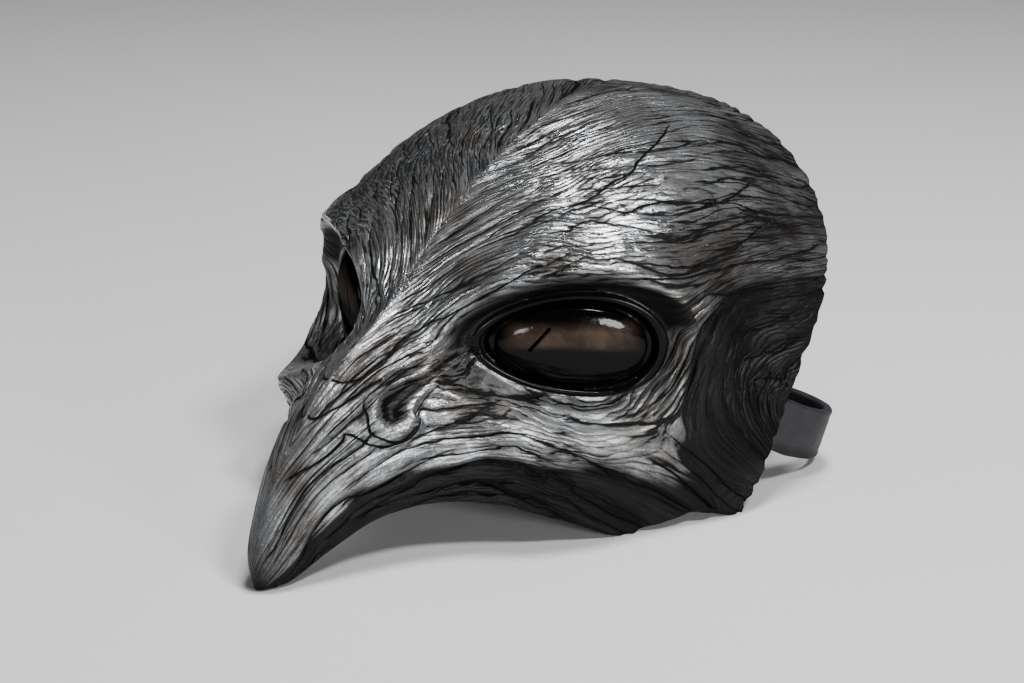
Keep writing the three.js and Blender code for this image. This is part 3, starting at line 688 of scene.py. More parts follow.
def grain_grooves(p, across, along, strength):
    """Depth of the grooves along the grain, and the phase and the reach of each kind."""
    from_fold, fold_share = nearest_on(CHEEK_FOLD, p)
    flank = (1 - smoothstep(np.abs(from_fold), *CHEEK_FOLD_REACH)) * smoothstep(fold_share, *CHEEK_FOLD_START)
    fold, fold_keep = grooves(across, along, FOLD)
    crack, crack_keep = grooves(across, along, CRACK)
    beside, beside_keep = grooves(from_fold, along, FLANK)
    grain_depth = np.maximum(cut_depth(fold, fold_keep, FOLD), cut_depth(crack, crack_keep, CRACK))
    depth = strength * (grain_depth * (1 - flank) + cut_depth(beside, beside_keep, FLANK) * flank)
    return depth, {
        "fold_phase": fold,
        "fold_keep": fold_keep * strength * (1 - flank),
        "crack_phase": crack,
        "crack_keep": crack_keep * strength * (1 - flank),
        "flank_phase": beside,
        "flank_keep": beside_keep * strength * flank,
        "hair_phase": grooves(across, along, HAIR)[0],
    }


def large_cracks(p):
    """Distance from the nearest of the larger cracks, and how far that one is kept."""
    away, keep = np.full(len(p), LARGE_CRACK["none"]), np.zeros(len(p))
    for path in LARGE_CRACKS:
        from_crack, share = nearest_on(path, p, LARGE_CRACK["reach"])
        nearer = np.abs(from_crack) < np.abs(away)
        kept = faded_ends(share, LARGE_CRACK["ends"]) * (np.abs(from_crack) < LARGE_CRACK["until"])
        away, keep = np.where(nearer, from_crack, away), np.where(nearer, kept, keep)
    return away, keep


def brightness(s, t, tip, polish_and_highlight, outer_lid, underside, temple):
    """How bright the ridges are, from 0 to 1: burnished, with painted highlights on the brow, the cheek shelf
    and the rim outside the lids, and painted shade on the underside and in the temple.
    """
    rear = (REAR["middle"] + REAR["sides"] * smoothstep(t, *REAR["across"])) * smoothstep(s, *REAR["starts"])
    ridge = BRIGHT["ridge"] * (1 - smoothstep(t, *RIDGE["across"])) * smoothstep(s, *RIDGE["starts"])
    beak = BRIGHT["beak"] * (1 - smoothstep(s, *BEAK_ENDS))
    bright = BRIGHT["plain"] + BRIGHT["polish_and_highlight"] * polish_and_highlight + BRIGHT["outer_lid"] * outer_lid
    bright = bright - rear - ridge - beak - BRIGHT["tip"] * tip
    bright = bright * (1 - PAINTED_SHADE["underside"] * underside) * (1 - PAINTED_SHADE["temple"] * temple)
    return np.clip(bright * smoothstep(s, *TIP_DARK), 0, 1)


def relief(s, t):
    """Height of the relief at points of the left half, the grain there and what the finish reads."""
    p = between(FACE, s, t)
    across, along = between(ACROSS, s, t), between(ALONG, s, t)
    from_brow, brow_share = nearest_on(BROW_EDGE, p)
    from_temple, temple_share = nearest_on(TEMPLE_EDGE, p)
    lid, hollow, outer_lid = eye_zones(s, t, from_brow)
    underside, temple = painted_shade_zones(s, t, from_temple)
    tip, polish_and_highlight, cheek = 1 - smoothstep(s, *TIP_ENDS), spot(s, t, *POLISHED_HIGHLIGHT), cheek_zone(s, t)
    crest = 1 - smoothstep(p[:, 0], *CREST_WIDTH)
    pit, lip, from_pit, pit_rings = nostril_shape(p)
    calm = np.clip(lid + STRENGTH["hollow"] * hollow, 0, 1)
    strength = STRENGTH["plain"] + STRENGTH["underside"] * underside + STRENGTH["temple"] * temple
    strength = (strength - STRENGTH["tip"] * tip - STRENGTH["polish_and_highlight"] * polish_and_highlight) * (1 - calm)
    near, clear = NOSTRIL_RINGS["clear"]
    strength = strength * smoothstep(from_pit, near, clear + pit_rings) * (1 - STRENGTH["crest"] * crest)
    depth, grain = grain_grooves(p, across, along, strength)
    from_crack, crack_keep = large_cracks(p)
    depth = np.maximum(depth, LARGE_CRACK["depth"] * crack_keep * hump(from_crack, LARGE_CRACK["width"]))
    steps = step_down(-from_temple, temple_share, TEMPLE_STEP) + step_down(from_brow, brow_share, BROW_STEP)
    settle = 1 - smoothstep(t, SETTLES, 1) * (1 - smoothstep(s, *CAVITY))
    crown = CROWN["drop"] * smoothstep(s, CROWN["from"], 1) * (1 - smoothstep(t, 0, CROWN["across"]))
    height = (lip * (1 - lid) - pit - depth - steps * (1 - lid)) * settle - crown
    hair_keep = HAIRS["beak"] + HAIRS["behind"] * smoothstep(s, *HAIR_STARTS)
    brown = sum(spot(s, t, *one) for one in BROWN_SPOTS)
    return height, across, along, grain | {
        "sunk": np.clip(depth / FOLD["depth"], 0, 1),
        "pit": np.clip(pit / NOSTRIL["depth"][0], 0, 1),
        "from_pit": np.clip(from_pit, 0, NOSTRIL_RINGS["until"]),
        "pit_rings": pit_rings,
        "from_crack": np.clip(from_crack, -LARGE_CRACK["until"], LARGE_CRACK["until"]),
        "large_keep": crack_keep,
        "hair_keep": hair_keep * (1 - HAIRS["crest"] * crest),
        # The brightness of the ridges carries painted highlights on the brow spot and the cheek shelf, and
        # painted shade on the underside and the temple
        "burnish_and_painted_light": brightness(s, t, tip, polish_and_highlight + cheek, outer_lid, underside, temple),
        "brown": np.clip(brown, 0, 1),
        "gloss": lid,
        "satin": cheek * (1 - lid),
        "lid_black_and_painted_shade": np.clip(lid + hollow, 0, 1),
    }


def sheet_lines(ends, counts):
    """Lines of the sheet: so many steps in each stretch."""
    parts = [np.linspace(a, b, n, endpoint=False) for a, b, n in zip(ends, ends[1:], counts)]
    return np.append(np.concatenate(parts), ends[-1])


ROW_LINES = sheet_lines((0, *FIELD_ROWS, 1), ROW_COUNTS)
COLUMN_LINES = sheet_lines((0, *FIELD_SHARES, 1), COLUMN_COUNTS)


def lines_within(lines, ends):
    """The lines of the sheet from one end to the other, both included."""
    return lines[(lines > ends[0] - TINY) & (lines < ends[1] + TINY)]


def field_edge():
    """The closed edge of the left eye field, as rows of s and t."""
    down, across = lines_within(ROW_LINES, FIELD_ROWS), lines_within(COLUMN_LINES, FIELD_SHARES)
    sides = [
        [(down[0], t) for t in across[:-1]],
        [(s, across[-1]) for s in down[:-1]],
        [(down[-1], t) for t in across[:0:-1]],
        [(s, across[0]) for s in down[:0:-1]],
    ]
    return np.array([point for side in sides for point in side])


def eye_level(s, t):
    """0 at the last ring of the sheet, 1 at its first one."""
    u, v, _ = eye_frame(between(PLAIN, s, t))
    ring, angle = eye_ring(u, v)
    return (ring - LAST_RING) / (FIRST_REACH * eye_reach(angle)[3] - LAST_RING)


def ring_lines():
    """The sheet's rings round the left eye, from the field's edge inwards, as s and t."""
    edge = field_edge()
    centre = np.array(EYE_AT)
    rings = []
    first = None
    for level in np.linspace(1, 0, REACH_RINGS + 1) ** REACH_CROWDING:
        low, high = np.zeros(len(edge)), np.ones(len(edge))
        for _ in range(HALVINGS):
            middle = (low + high) / 2
            at = centre + (edge - centre) * middle[:, None]
            inside = eye_level(at[:, 0], at[:, 1]) < level
            low, high = np.where(inside, middle, low), np.where(inside, high, middle)
        first = low if first is None else first
        rings.append(centre + (edge - centre) * low[:, None])
    outside = []
    for share in np.linspace(1, 0, OUTSIDE_RINGS, endpoint=False):
        outside.append(centre + (edge - centre) * (first + (1 - first) * share)[:, None])
    return np.array(outside + rings)


def shell_chart():
    """The whole mask as a closed sheet of faces over the chart of s, t and pocket step."""
    bm = bmesh.new()
    columns, rows = 2 * (len(COLUMN_LINES) - 1), len(ROW_LINES) - 1
    bmesh.ops.create_grid(bm, x_segments=columns, y_segments=rows, size=1)
    for v in bm.verts:
        s = ROW_LINES[round((v.co.y + 1) / 2 * rows)]
        place = round((v.co.x + 1) / 2 * columns) - columns // 2
        t = math.copysign(COLUMN_LINES[abs(place)], place)
        v.co = (s, t if s > 0 else 0, 0)
    fields = [
        f for f in bm.faces
        if FIELD_ROWS[0] < f.calc_center_median().x < FIELD_ROWS[1]
        and FIELD_SHARES[0] < abs(f.calc_center_median().y) < FIELD_SHARES[1]
    ]
    bmesh.ops.delete(bm, geom=fields, context="FACES")
    rings = ring_lines()
    around, inwards = rings.shape[1], len(rings) - 1 + len(POCKET_STEPS)
    for side in (1, -1):
        made = bmesh.ops.create_grid(bm, x_segments=around, y_segments=inwards, size=1)
        for v in made["verts"]:
            j = round((v.co.y + 1) / 2 * inwards)
            k = round((v.co.x + 1) / 2 * around) % around
            s, t = rings[min(j, len(rings) - 1), k]
            v.co = (s, side * t, max(0, j - len(rings) + 1))
    bmesh.ops.remove_doubles(bm, verts=bm.verts[:], dist=MERGE_ON_CHART)
    lining = bm.verts.layers.float.new("lining")
    for v in bm.verts:
        v[lining] = 1
    skin = bmesh.ops.extrude_face_region(bm, geom=bm.faces[:], use_keep_orig=True)
    for v in skin["geom"]:
        if isinstance(v, bmesh.types.BMVert):
            v[lining] = 0
    return bm


def lining_place(s, t, ring, w, face, outward):
    """Where the inner surface lies under a point of the face."""
    near = 1 - smoothstep(np.abs(w), *BOSS["depth"])
    wall = WALL + EYE_BOSS * near * (1 - smoothstep(ring, *BOSS["ring"]))
    inside = face - outward * wall[:, None]
    chord = between(FACE, s, np.ones_like(s))
    chord[:, 0] *= t
    hollow = smoothstep(s, *CAVITY)[:, None]
    p = chord * (1 - hollow) + inside * hollow
    p[:, 2] = np.maximum(p[:, 2], 0)
    return p


def added(name, mesh):
    """A new piece in the scene."""
    piece = bpy.data.objects.new(name, mesh)
    bpy.context.scene.collection.objects.link(piece)
    return piece


def with_modifiers_applied(piece):
    """The piece with its modifiers worked into its mesh."""
    depsgraph = bpy.context.evaluated_depsgraph_get()
    mesh = bpy.data.meshes.new_from_object(piece.evaluated_get(depsgraph), depsgraph=depsgraph)
    piece.modifiers.clear()
    piece.data = mesh
    mesh.name = piece.name
    return piece


def lid_bead(ring, angle, w, plain_w):
    """How far the rounded bead of the lid stands out of the face."""
    from_lid = (ring - lid_ring(angle)) * EYE_HALF_HEIGHT
    bead = LID["height"] + np.sqrt(np.maximum(0, LID["radius"] ** 2 - from_lid**2))
    on_lid = (np.abs(from_lid) < LID["radius"]) & (np.abs(plain_w) < SOCKET["near"])
    return np.where(on_lid, np.maximum(0, bead - w), 0)


def shell_places(s, t, step, lined):
    """Where points of the chart lie on the left half, the grain there and what the finish reads."""
    face, outward = between(FACE, s, t), between(OUTWARD, s, t)
    outward /= np.linalg.norm(outward, axis=-1, keepdims=True)
    u, v, w = eye_frame(between(PLAIN, s, t))
    ring, angle = eye_ring(u, v)
    inside = lining_place(s, t, ring, w, face, outward)
    height, across, along, worn = relief(s, t)
    skin = face + outward * height[:, None]
    skin = skin + lid_bead(ring, angle, eye_frame(face)[2], w)[:, None] * EYE_OUT
    behind_pocket = SOCKET["floor"] - WALL - EYE_BOSS
    for level, (at_ring, at_height, under_ring) in enumerate(POCKET_STEPS, 1):
        here = step == level
        flat = np.ones(here.sum())
        skin[here] = from_eye_ring(at_ring * flat, angle[here], at_height * flat)
        inside[here] = from_eye_ring(under_ring * flat, angle[here], behind_pocket * flat)
    rim = s > 1 - SLIGHT
    for p in (skin, inside):
        p[rim] -= ((p[rim] - FACE[-1, 0]) @ RIM_NORMAL)[:, None] * RIM_NORMAL
    skin[:, 2] = np.maximum(skin[:, 2], 0)
    return np.where(lined[:, None], inside, skin), across, along, worn


def give_grain(mesh, across, along):
    """Stores the grain as a UV map, 1 for every 100 mm across and along it."""
    corner = np.zeros(len(mesh.loops), dtype=int)
    mesh.loops.foreach_get("vertex_index", corner)
    uv = np.stack([across, along], axis=-1)[corner] / GRAIN_UNIT
    mesh.uv_layers.new(name="grain").data.foreach_set("uv", uv.ravel().astype(np.float32))


def closed_up(mesh):
    """Merges what meets, points every face outwards and shades it smooth."""
    bm = bmesh.new()
    bm.from_mesh(mesh)
    bmesh.ops.remove_doubles(bm, verts=bm.verts[:], dist=MERGE)
    bmesh.ops.dissolve_degenerate(bm, edges=bm.edges[:], dist=MERGE)
    bmesh.ops.recalc_face_normals(bm, faces=bm.faces[:])
    for f in bm.faces:
        f.smooth = True
    bm.to_mesh(mesh)


def make_shell():
    """The mask's shell, its face carved with the relief and its lining plain and coarser."""
    mesh = bpy.data.meshes.new("mask_metal")
    shell_chart().to_mesh(mesh)
    count = len(mesh.vertices)
    chart, lining = np.zeros(3 * count), np.zeros(count, dtype=np.float32)
    mesh.vertices.foreach_get("co", chart)
    mesh.attributes["lining"].data.foreach_get("value", lining)
    s, t, step = chart.reshape(-1, 3).T
    side, t, step, lined = np.where(t < 0, -1, 1), np.abs(t), np.round(step).astype(int), lining > 0.5
    place, across, along, worn = shell_places(s, t, step, lined)
    place[:, 0] = np.where(t < TINY, 0, place[:, 0]) * side
    mesh.vertices.foreach_set("co", ((place - [0, SETBACK, 0]) * MM).ravel())
    for name, values in worn.items():
        layer = mesh.attributes.new(name, "FLOAT", "POINT")
        layer.data.foreach_set("value", np.where(lined, 0, values).astype(np.float32))
    give_grain(mesh, across, along)
    closed_up(mesh)
    piece = added("mask_metal", mesh)
    inner = piece.vertex_groups.new(name="lining")
    lining = mesh.attributes["lining"].data
    inner.add([k for k in range(len(mesh.vertices)) if lining[k].value > 0.5], 1, "REPLACE")
    thin = piece.modifiers.new("thinner lining", "DECIMATE")
    thin.ratio = LINING_SHARE
    thin.vertex_group = "lining"
    return with_modifiers_applied(piece)


# The lens: how far its edge is from its middle, heights of dome, edge and back, how the dome curves,
# and the steps of the flange round it
LENS_RING = 0.912
LENS_TOP = 3.6
LENS_EDGE = -1.6
LENS_BACK = -2.7
DOME = {"ring": 0.82, "foot": 0.35, "fullness": 0.9, "rings": 40, "turns": 160}
LENS_FLANGE = [
    (0.83, -0.35), (0.845, -0.5), (0.87, -0.6), (0.895, -0.85),
    (LENS_RING, LENS_EDGE), (LENS_RING, LENS_BACK),
]
SHARP_FROM = math.radians(40)

# The slit pupil, and where the painted brown reflection ends round it
SLIT = {"u": -9.45, "v": 0.65, "length": 9.0, "width": 1.1, "deep": 20, "round": 0.49}
SLIT_LEAN = math.radians(47)
REFLECTION_BAND = {"wide": (0.5, 0.8), "above": (0.32, 0.6), "below": (-0.08, 0.1), "bow": 0.1}


def in_scene(p, side):
    """A point of the form in metres, on the left or the right half."""
    return (side * p[0] * MM, (p[1] - SETBACK) * MM, p[2] * MM)


def slit_cutter(side):
    """A long thin rod with rounded ends, across the lens."""
    bm = bmesh.new()
    bmesh.ops.create_cube(bm, size=1)
    upright = [e for e in bm.edges if abs(e.verts[0].co.z - e.verts[1].co.z) > 0.5]
    bmesh.ops.scale(bm, vec=(SLIT["length"], SLIT["width"], SLIT["deep"]), verts=bm.verts[:])
    offset = SLIT["width"] * SLIT["round"]
    bmesh.ops.bevel(bm, geom=upright, offset=offset, segments=5, profile=0.5, affect="EDGES", material=-1)
    turn, rise = math.cos(SLIT_LEAN), math.sin(SLIT_LEAN)
    for v in bm.verts:
        u = SLIT["u"] + turn * v.co.x - rise * v.co.y
        up = SLIT["v"] + rise * v.co.x + turn * v.co.y
        v.co = in_scene(EYE_CENTRE + u * EYE_ALONG + up * EYE_UP + v.co.z * EYE_OUT, side)
    bmesh.ops.recalc_face_normals(bm, faces=bm.faces[:])
    mesh = bpy.data.meshes.new("slit")
    bm.to_mesh(mesh)
    return added("slit", mesh)


def lens_body(side):
    """A domed disc with a flange, spun from its profile and drawn out to the eye's outline."""
    bm = bmesh.new()
    line = [bm.verts.new((0, 0, LENS_TOP))]
    for k in range(1, DOME["rings"] + 1):
        rise = math.cos(k / DOME["rings"] * math.pi / 2) ** DOME["fullness"]
        ring = DOME["ring"] * math.sin(k / DOME["rings"] * math.pi / 2)
        line.append(bm.verts.new((ring, 0, DOME["foot"] + (LENS_TOP - DOME["foot"]) * rise)))
    for ring, height in LENS_FLANGE:
        line.append(bm.verts.new((ring, 0, height)))
    line.append(bm.verts.new((0, 0, LENS_BACK)))
    edges = [bm.edges.new(pair) for pair in zip(line, line[1:])]
    bmesh.ops.spin(
        bm, geom=line + edges, axis=(0, 0, 1), cent=(0, 0, 0), angle=2 * math.pi,
        steps=DOME["turns"], use_merge=True, use_duplicate=False,
    )
    bmesh.ops.remove_doubles(bm, verts=bm.verts[:], dist=SLIGHT)
    for v in bm.verts:
        ring, angle = math.hypot(v.co.x, v.co.y), math.atan2(v.co.y, v.co.x)
        v.co = in_scene(from_eye_ring(np.array(ring), np.array(angle), np.array(v.co.z)), side)
    bmesh.ops.recalc_face_normals(bm, faces=bm.faces[:])
    mesh = bpy.data.meshes.new("lens")
    bm.to_mesh(mesh)
    return mesh


def mark_painted_reflection(mesh, side):
    """Stores the painted brown reflection on the lens: a band round the slit, dark above and below."""
    points = np.array([v.co for v in mesh.vertices]) / MM * [side, 1, 1] + [0, SETBACK, 0]
    u, v, _ = eye_frame(points)
    ring, angle = eye_ring(u, v)
    wide, high = ring * np.cos(angle), ring * np.sin(angle)
    brown = (1 - smoothstep(np.abs(wide), *REFLECTION_BAND["wide"])) * (1 - smoothstep(high, *REFLECTION_BAND["above"]))
    brown = brown * smoothstep(high + REFLECTION_BAND["bow"] * wide**2, *REFLECTION_BAND["below"])
    brown_reflection = mesh.attributes.new("brown_reflection", "FLOAT", "POINT")
    brown_reflection.data.foreach_set("value", brown.astype(np.float32))


def make_lens(side):
    """A domed lens with a slit pupil cut through it, in its pocket under the lid."""
    piece = added("lens_left" if side > 0 else "lens_right", lens_body(side))
    slit = slit_cutter(side)
    cut = piece.modifiers.new("slit pupil", "BOOLEAN")
    cut.operation = "DIFFERENCE"
    cut.object = slit
    cut.solver = "EXACT"
    with_modifiers_applied(piece)
    bpy.data.objects.remove(slit)
    mark_painted_reflection(piece.data, side)
    piece.data.shade_smooth()
    piece.data.set_sharp_from_angle(angle=SHARP_FROM)
    return piece


# The head strap: a flat band on edge, fixed inside both side walls and bent round behind, by middle
# points in the form's millimetres with the share by which its top leans inwards
STRAP = {"width": 16.0, "thickness": 3.0, "gap": 1.3, "round": 0.8, "steps": 150, "rows": 8}
STRAP_ON_WALL = {"t": 0.85, "rows": (0.86, 0.92), "across": 0.01}
STRAP_ROUTE = [
    ((72.6, 148.0, 19.6), 0.0),
    ((75.2, 158.0, 15.0), -0.2),
    ((76.4, 168.5, 11.2), -0.32),
    ((72.0, 178.0, 9.8), -0.26),
    ((59.0, 185.0, 9.6), -0.08),
    ((38.0, 189.5, 9.0), 0.0),
    ((13.0, 191.5, 8.8), 0.0),
]
STRAP_AHEAD = 0.002

# The band before it is bent: its length, the line pressed in along its edges and its bare cut edge
FLAT_LENGTH = 100.0
PRESSED_LINE = {"at": 5.9, "wide": 0.5, "depth": 0.12}
CUT_EDGE = (3.8, 2.8)


def strap_knots():
    """Middle points and upward directions along the strap, from left to right."""
    s, t = np.array(STRAP_ON_WALL["rows"]), np.full(2, STRAP_ON_WALL["t"])
    reach = WALL + STRAP["gap"] + STRAP["thickness"] / 2
    places = list(between(FACE, s, t) - reach * between(OUTWARD, s, t))
    ups = list(between(FACE, s, t - STRAP_ON_WALL["across"]) - between(FACE, s, t + STRAP_ON_WALL["across"]))
    for at, lean in STRAP_ROUTE:
        places.append(np.array(at))
        ups.append(np.array([-lean, 0.0, 1.0]))
    ups = [up / np.linalg.norm(up) for up in ups]
    mirror = np.array([-1, 1, 1])
    places += [p * mirror for p in reversed(places)]
    ups += [p * mirror for p in reversed(ups)]
    return np.array(places), np.array(ups)


def flat_band():
    """The strap laid flat, with rounded corners."""
    bm = bmesh.new()
    bmesh.ops.create_grid(bm, x_segments=STRAP["steps"], y_segments=STRAP["rows"], size=0.5)
    bmesh.ops.scale(bm, vec=(FLAT_LENGTH, STRAP["width"], 1), verts=bm.verts[:])
    lifted = bmesh.ops.extrude_face_region(bm, geom=bm.faces[:], use_keep_orig=True)
    risen = [v for v in lifted["geom"] if isinstance(v, bmesh.types.BMVert)]
    bmesh.ops.translate(bm, vec=(0, 0, STRAP["thickness"]), verts=risen)
    bmesh.ops.recalc_face_normals(bm, faces=bm.faces[:])
    corners = [e for e in bm.edges if e.calc_face_angle() > 1]
    bmesh.ops.bevel(
        bm, geom=corners, offset=STRAP["round"], segments=3, profile=0.5, affect="EDGES", material=-1,
    )
    return bm


def make_strap():
    """The flat band bent along its route."""
    places, ups = strap_knots()
    bm = flat_band()
    flat = np.array([v.co for v in bm.verts])
    share = np.clip(flat[:, 0] / FLAT_LENGTH + 0.5, 0, 1)
    middle = smooth_through(places, share)
    tangent = smooth_through(places, share + STRAP_AHEAD) - smooth_through(places, share - STRAP_AHEAD)
    tangent /= np.linalg.norm(tangent, axis=-1, keepdims=True)
    up = smooth_through(ups, share)
    up -= (up * tangent).sum(-1, keepdims=True) * tangent
    up /= np.linalg.norm(up, axis=-1, keepdims=True)
    out = np.cross(up, tangent)
    pressed = PRESSED_LINE["depth"] * hump(np.abs(flat[:, 1]) - PRESSED_LINE["at"], PRESSED_LINE["wide"])
    thickness = (flat[:, 2] - STRAP["thickness"] / 2) * (1 - pressed)
    place = middle + out * thickness[:, None] + up * flat[:, 1:2]
    run = share * np.linalg.norm(np.diff(places, axis=0), axis=-1).sum()
    mesh = bpy.data.meshes.new("head_band")
    cut = bm.verts.layers.float.new("cut_edge")
    bare = [STRAP["width"] / 2 - k for k in CUT_EDGE]
    for v, at, from_middle in zip(bm.verts, (place - [0, SETBACK, 0]) * MM, flat[:, 1]):
        v.co = at
        v[cut] = smoothstep(-from_middle, *bare)
    grain = bm.loops.layers.uv.new("grain")
    for f in bm.faces:
        f.smooth = True
        for loop in f.loops:
            loop[grain].uv = (run[loop.vert.index] / GRAIN_UNIT, flat[loop.vert.index, 1] / GRAIN_UNIT)
    bmesh.ops.recalc_face_normals(bm, faces=bm.faces[:])
    bm.to_mesh(mesh)
    return added("head_band", mesh)


class Socket:
    """An output of a node; sums and products of it add their Math nodes."""

    def __init__(self, finish, output):
        self.finish = finish
        self.output = output

    def maths(self, operation, first, second):
        """A Math node with two inputs."""
        return self.finish.node("Math", {"operation": operation}, {0: first, 1: second})

    def __add__(self, other):
        return self.maths("ADD", self, other)

    def __radd__(self, other):
        return self.maths("ADD", other, self)

    def __sub__(self, other):
        return self.maths("SUBTRACT", self, other)

    def __rsub__(self, other):
        return self.maths("SUBTRACT", other, self)

    def __mul__(self, other):
        return self.maths("MULTIPLY", self, other)

    def __rmul__(self, other):
        return self.maths("MULTIPLY", other, self)

    def __pow__(self, other):
        return self.maths("POWER", self, other)


class Finish:
    """A material for one of the mask's surfaces."""

    def __init__(self, name):
        self.material = bpy.data.materials.new(name)
        self.material.use_nodes = True
        self.tree = self.material.node_tree
        self.shader = self.tree.nodes["Principled BSDF"]

    def node(self, kind, settings=None, sockets=None, output=0):
        """A node with its settings and the values or links of its sockets."""
        node = self.tree.nodes.new("ShaderNode" + kind)
        for name, value in (settings or {}).items():
            setattr(node, name, value)
        for name, value in (sockets or {}).items():
            self.feed(node.inputs[name], value)
        return Socket(self, node.outputs[output])

    def feed(self, end, value):
        """Links a socket or sets a plain value."""
        if isinstance(value, Socket):
            self.tree.links.new(value.output, end)
        else:
            end.default_value = value

    def shade(self, **values):
        """The finished material, with values or links on its shader."""
        for name, value in values.items():
            self.feed(self.shader.inputs[name.replace("_", " ")], value)
        return self.material

    def glaze(self, shine, share):
        """A thin even shine over the whole surface."""
        surface = Socket(self, self.shader.outputs[0])
        both = self.node("MixShader", {}, {0: share, 1: surface, 2: shine})
        self.feed(self.tree.nodes["Material Output"].inputs["Surface"], both)

    def attribute(self, name):
        """A value stored on the mesh."""
        return self.node("Attribute", {"attribute_name": name}, output="Fac")

    def mixed(self, share, first, second):
        """Two colours mixed by a share."""
        ends = {0: share, 6: first, 7: second}
        return self.node("Mix", {"data_type": "RGBA", "clamp_factor": True}, ends, output=2)

    def ramped(self, value, low, high, to_low=0.0, to_high=1.0):
        """A value taken from one range to another and held within it."""
        ends = {"Value": value, "From Min": low, "From Max": high, "To Min": to_low, "To Max": to_high}
        return self.node("MapRange", {"clamp": True}, ends)

    def stretched(self, vector, scale):
        """A vector stretched by a number for each axis."""
        return self.node("VectorMath", {"operation": "MULTIPLY"}, {0: vector, 1: scale})

    def noise(self, vector, scale, detail=2.0, roughness=0.5):
        """A noise from 0 to 1, about even on both sides of 0.5."""
        values = {"Vector": vector, "Scale": scale, "Detail": detail, "Roughness": roughness}
        return self.node("TexNoise", {}, values)

    def bumped(self, height, distance, strength=1.0):
        """The surface's direction with a fine relief, whose height is in units of the distance."""
        return self.node("Bump", {}, {"Strength": strength, "Distance": distance, "Height": height})

    def line(self, value, at, width):
        """1 where a value is the one given, down to 0 a width away."""
        away = self.node("Math", {"operation": "ABSOLUTE"}, {0: value - at})
        return self.ramped(away, 0, width, to_low=1, to_high=0)

    def near(self, name, kind, wobble):
        """Distance in millimetres to the nearest groove of a kind, with a wobble in millimetres."""
        phase = self.attribute(name + "_phase") + wobble * (1 / kind["spacing"])
        return self.node("Math", {"operation": "PINGPONG"}, {0: phase, 1: 0.5}) * kind["spacing"]

    def score(self, name, kind, wobble):
        """1 on the sharp bottom line of a kind of groove."""
        near = self.ramped(self.near(name, kind, wobble), 0, kind["line"], to_low=1, to_high=0)
        return near * self.attribute(name + "_keep")


def colour(value, tint=(1.0, 1.0, 1.0)):
    """A grey with a tint."""
    return (value * tint[0], value * tint[1], value * tint[2], 1.0)


# The metal's colours, and how often its streaks, patches and wobbles repeat across and along 100 mm
# of the grain
BLACKENED = colour(0.0028, (1.0, 1.0, 1.06))
SILVER = colour(0.50, (0.97, 1.0, 1.03))
WARM_GREY = (0.30, 0.26, 0.225, 1.0)
COPPERY = (0.12, 0.068, 0.045, 1.0)
STREAKS = (130, 12, 1)
PATCHES = (22, 7, 1)
WOBBLES = (38, 15, 1)

# How far the scores wobble and how wide those round the nostril are, in millimetres, and how
# much each thing darkens the metal, roughens it and raises or lowers its fine relief
WOBBLE = 2.4
WOBBLE_ON_CRACKS = 0.7
RING_LINE = 0.13
DARK = {"sunk": 0.45, "scores": 1.2, "hairs": 0.6, "pit": 1.1, "streaks": 2.2, "cloud": 1.1}
ROUGH = {"speckle": 0.2, "gloss": 0.24, "satin": 0.27}
FINE = {"streaks": 0.28, "speckle": 0.07, "scores": 0.45, "dents": 0.45}

# What a pattern is ramped over, and what it gives at both ends where that is not 0 and 1
HAIR_LINE = (0, 0.6, 1, 0)
HAIRY = (0.36, 0.56)
RIDGED = (0.3, 0.6, 0.1, 0.4)
WARMED = (0.42, 0.62)
COPPERED = (0.35, 0.6)
WEAR = (-0.2, 0.55, 1, 0)
FLECKED = (0.38, 0.58, 0.6, 1.0)
ROUGHENED = (0, 0.8, 0.42, 0.16)
METALLIC = (0.0, 0.4, 0.1, 1.0)

# How strong the scores of the smaller cracks are, how much of the metal is warm at most, and how
# round the hairs' ridges are and how steeply the wear falls off
CRACK_SCORES = 0.9
WARM_SHARE = 0.7
RIDGE_POWER = 0.6
WEAR_POWER = 1.3


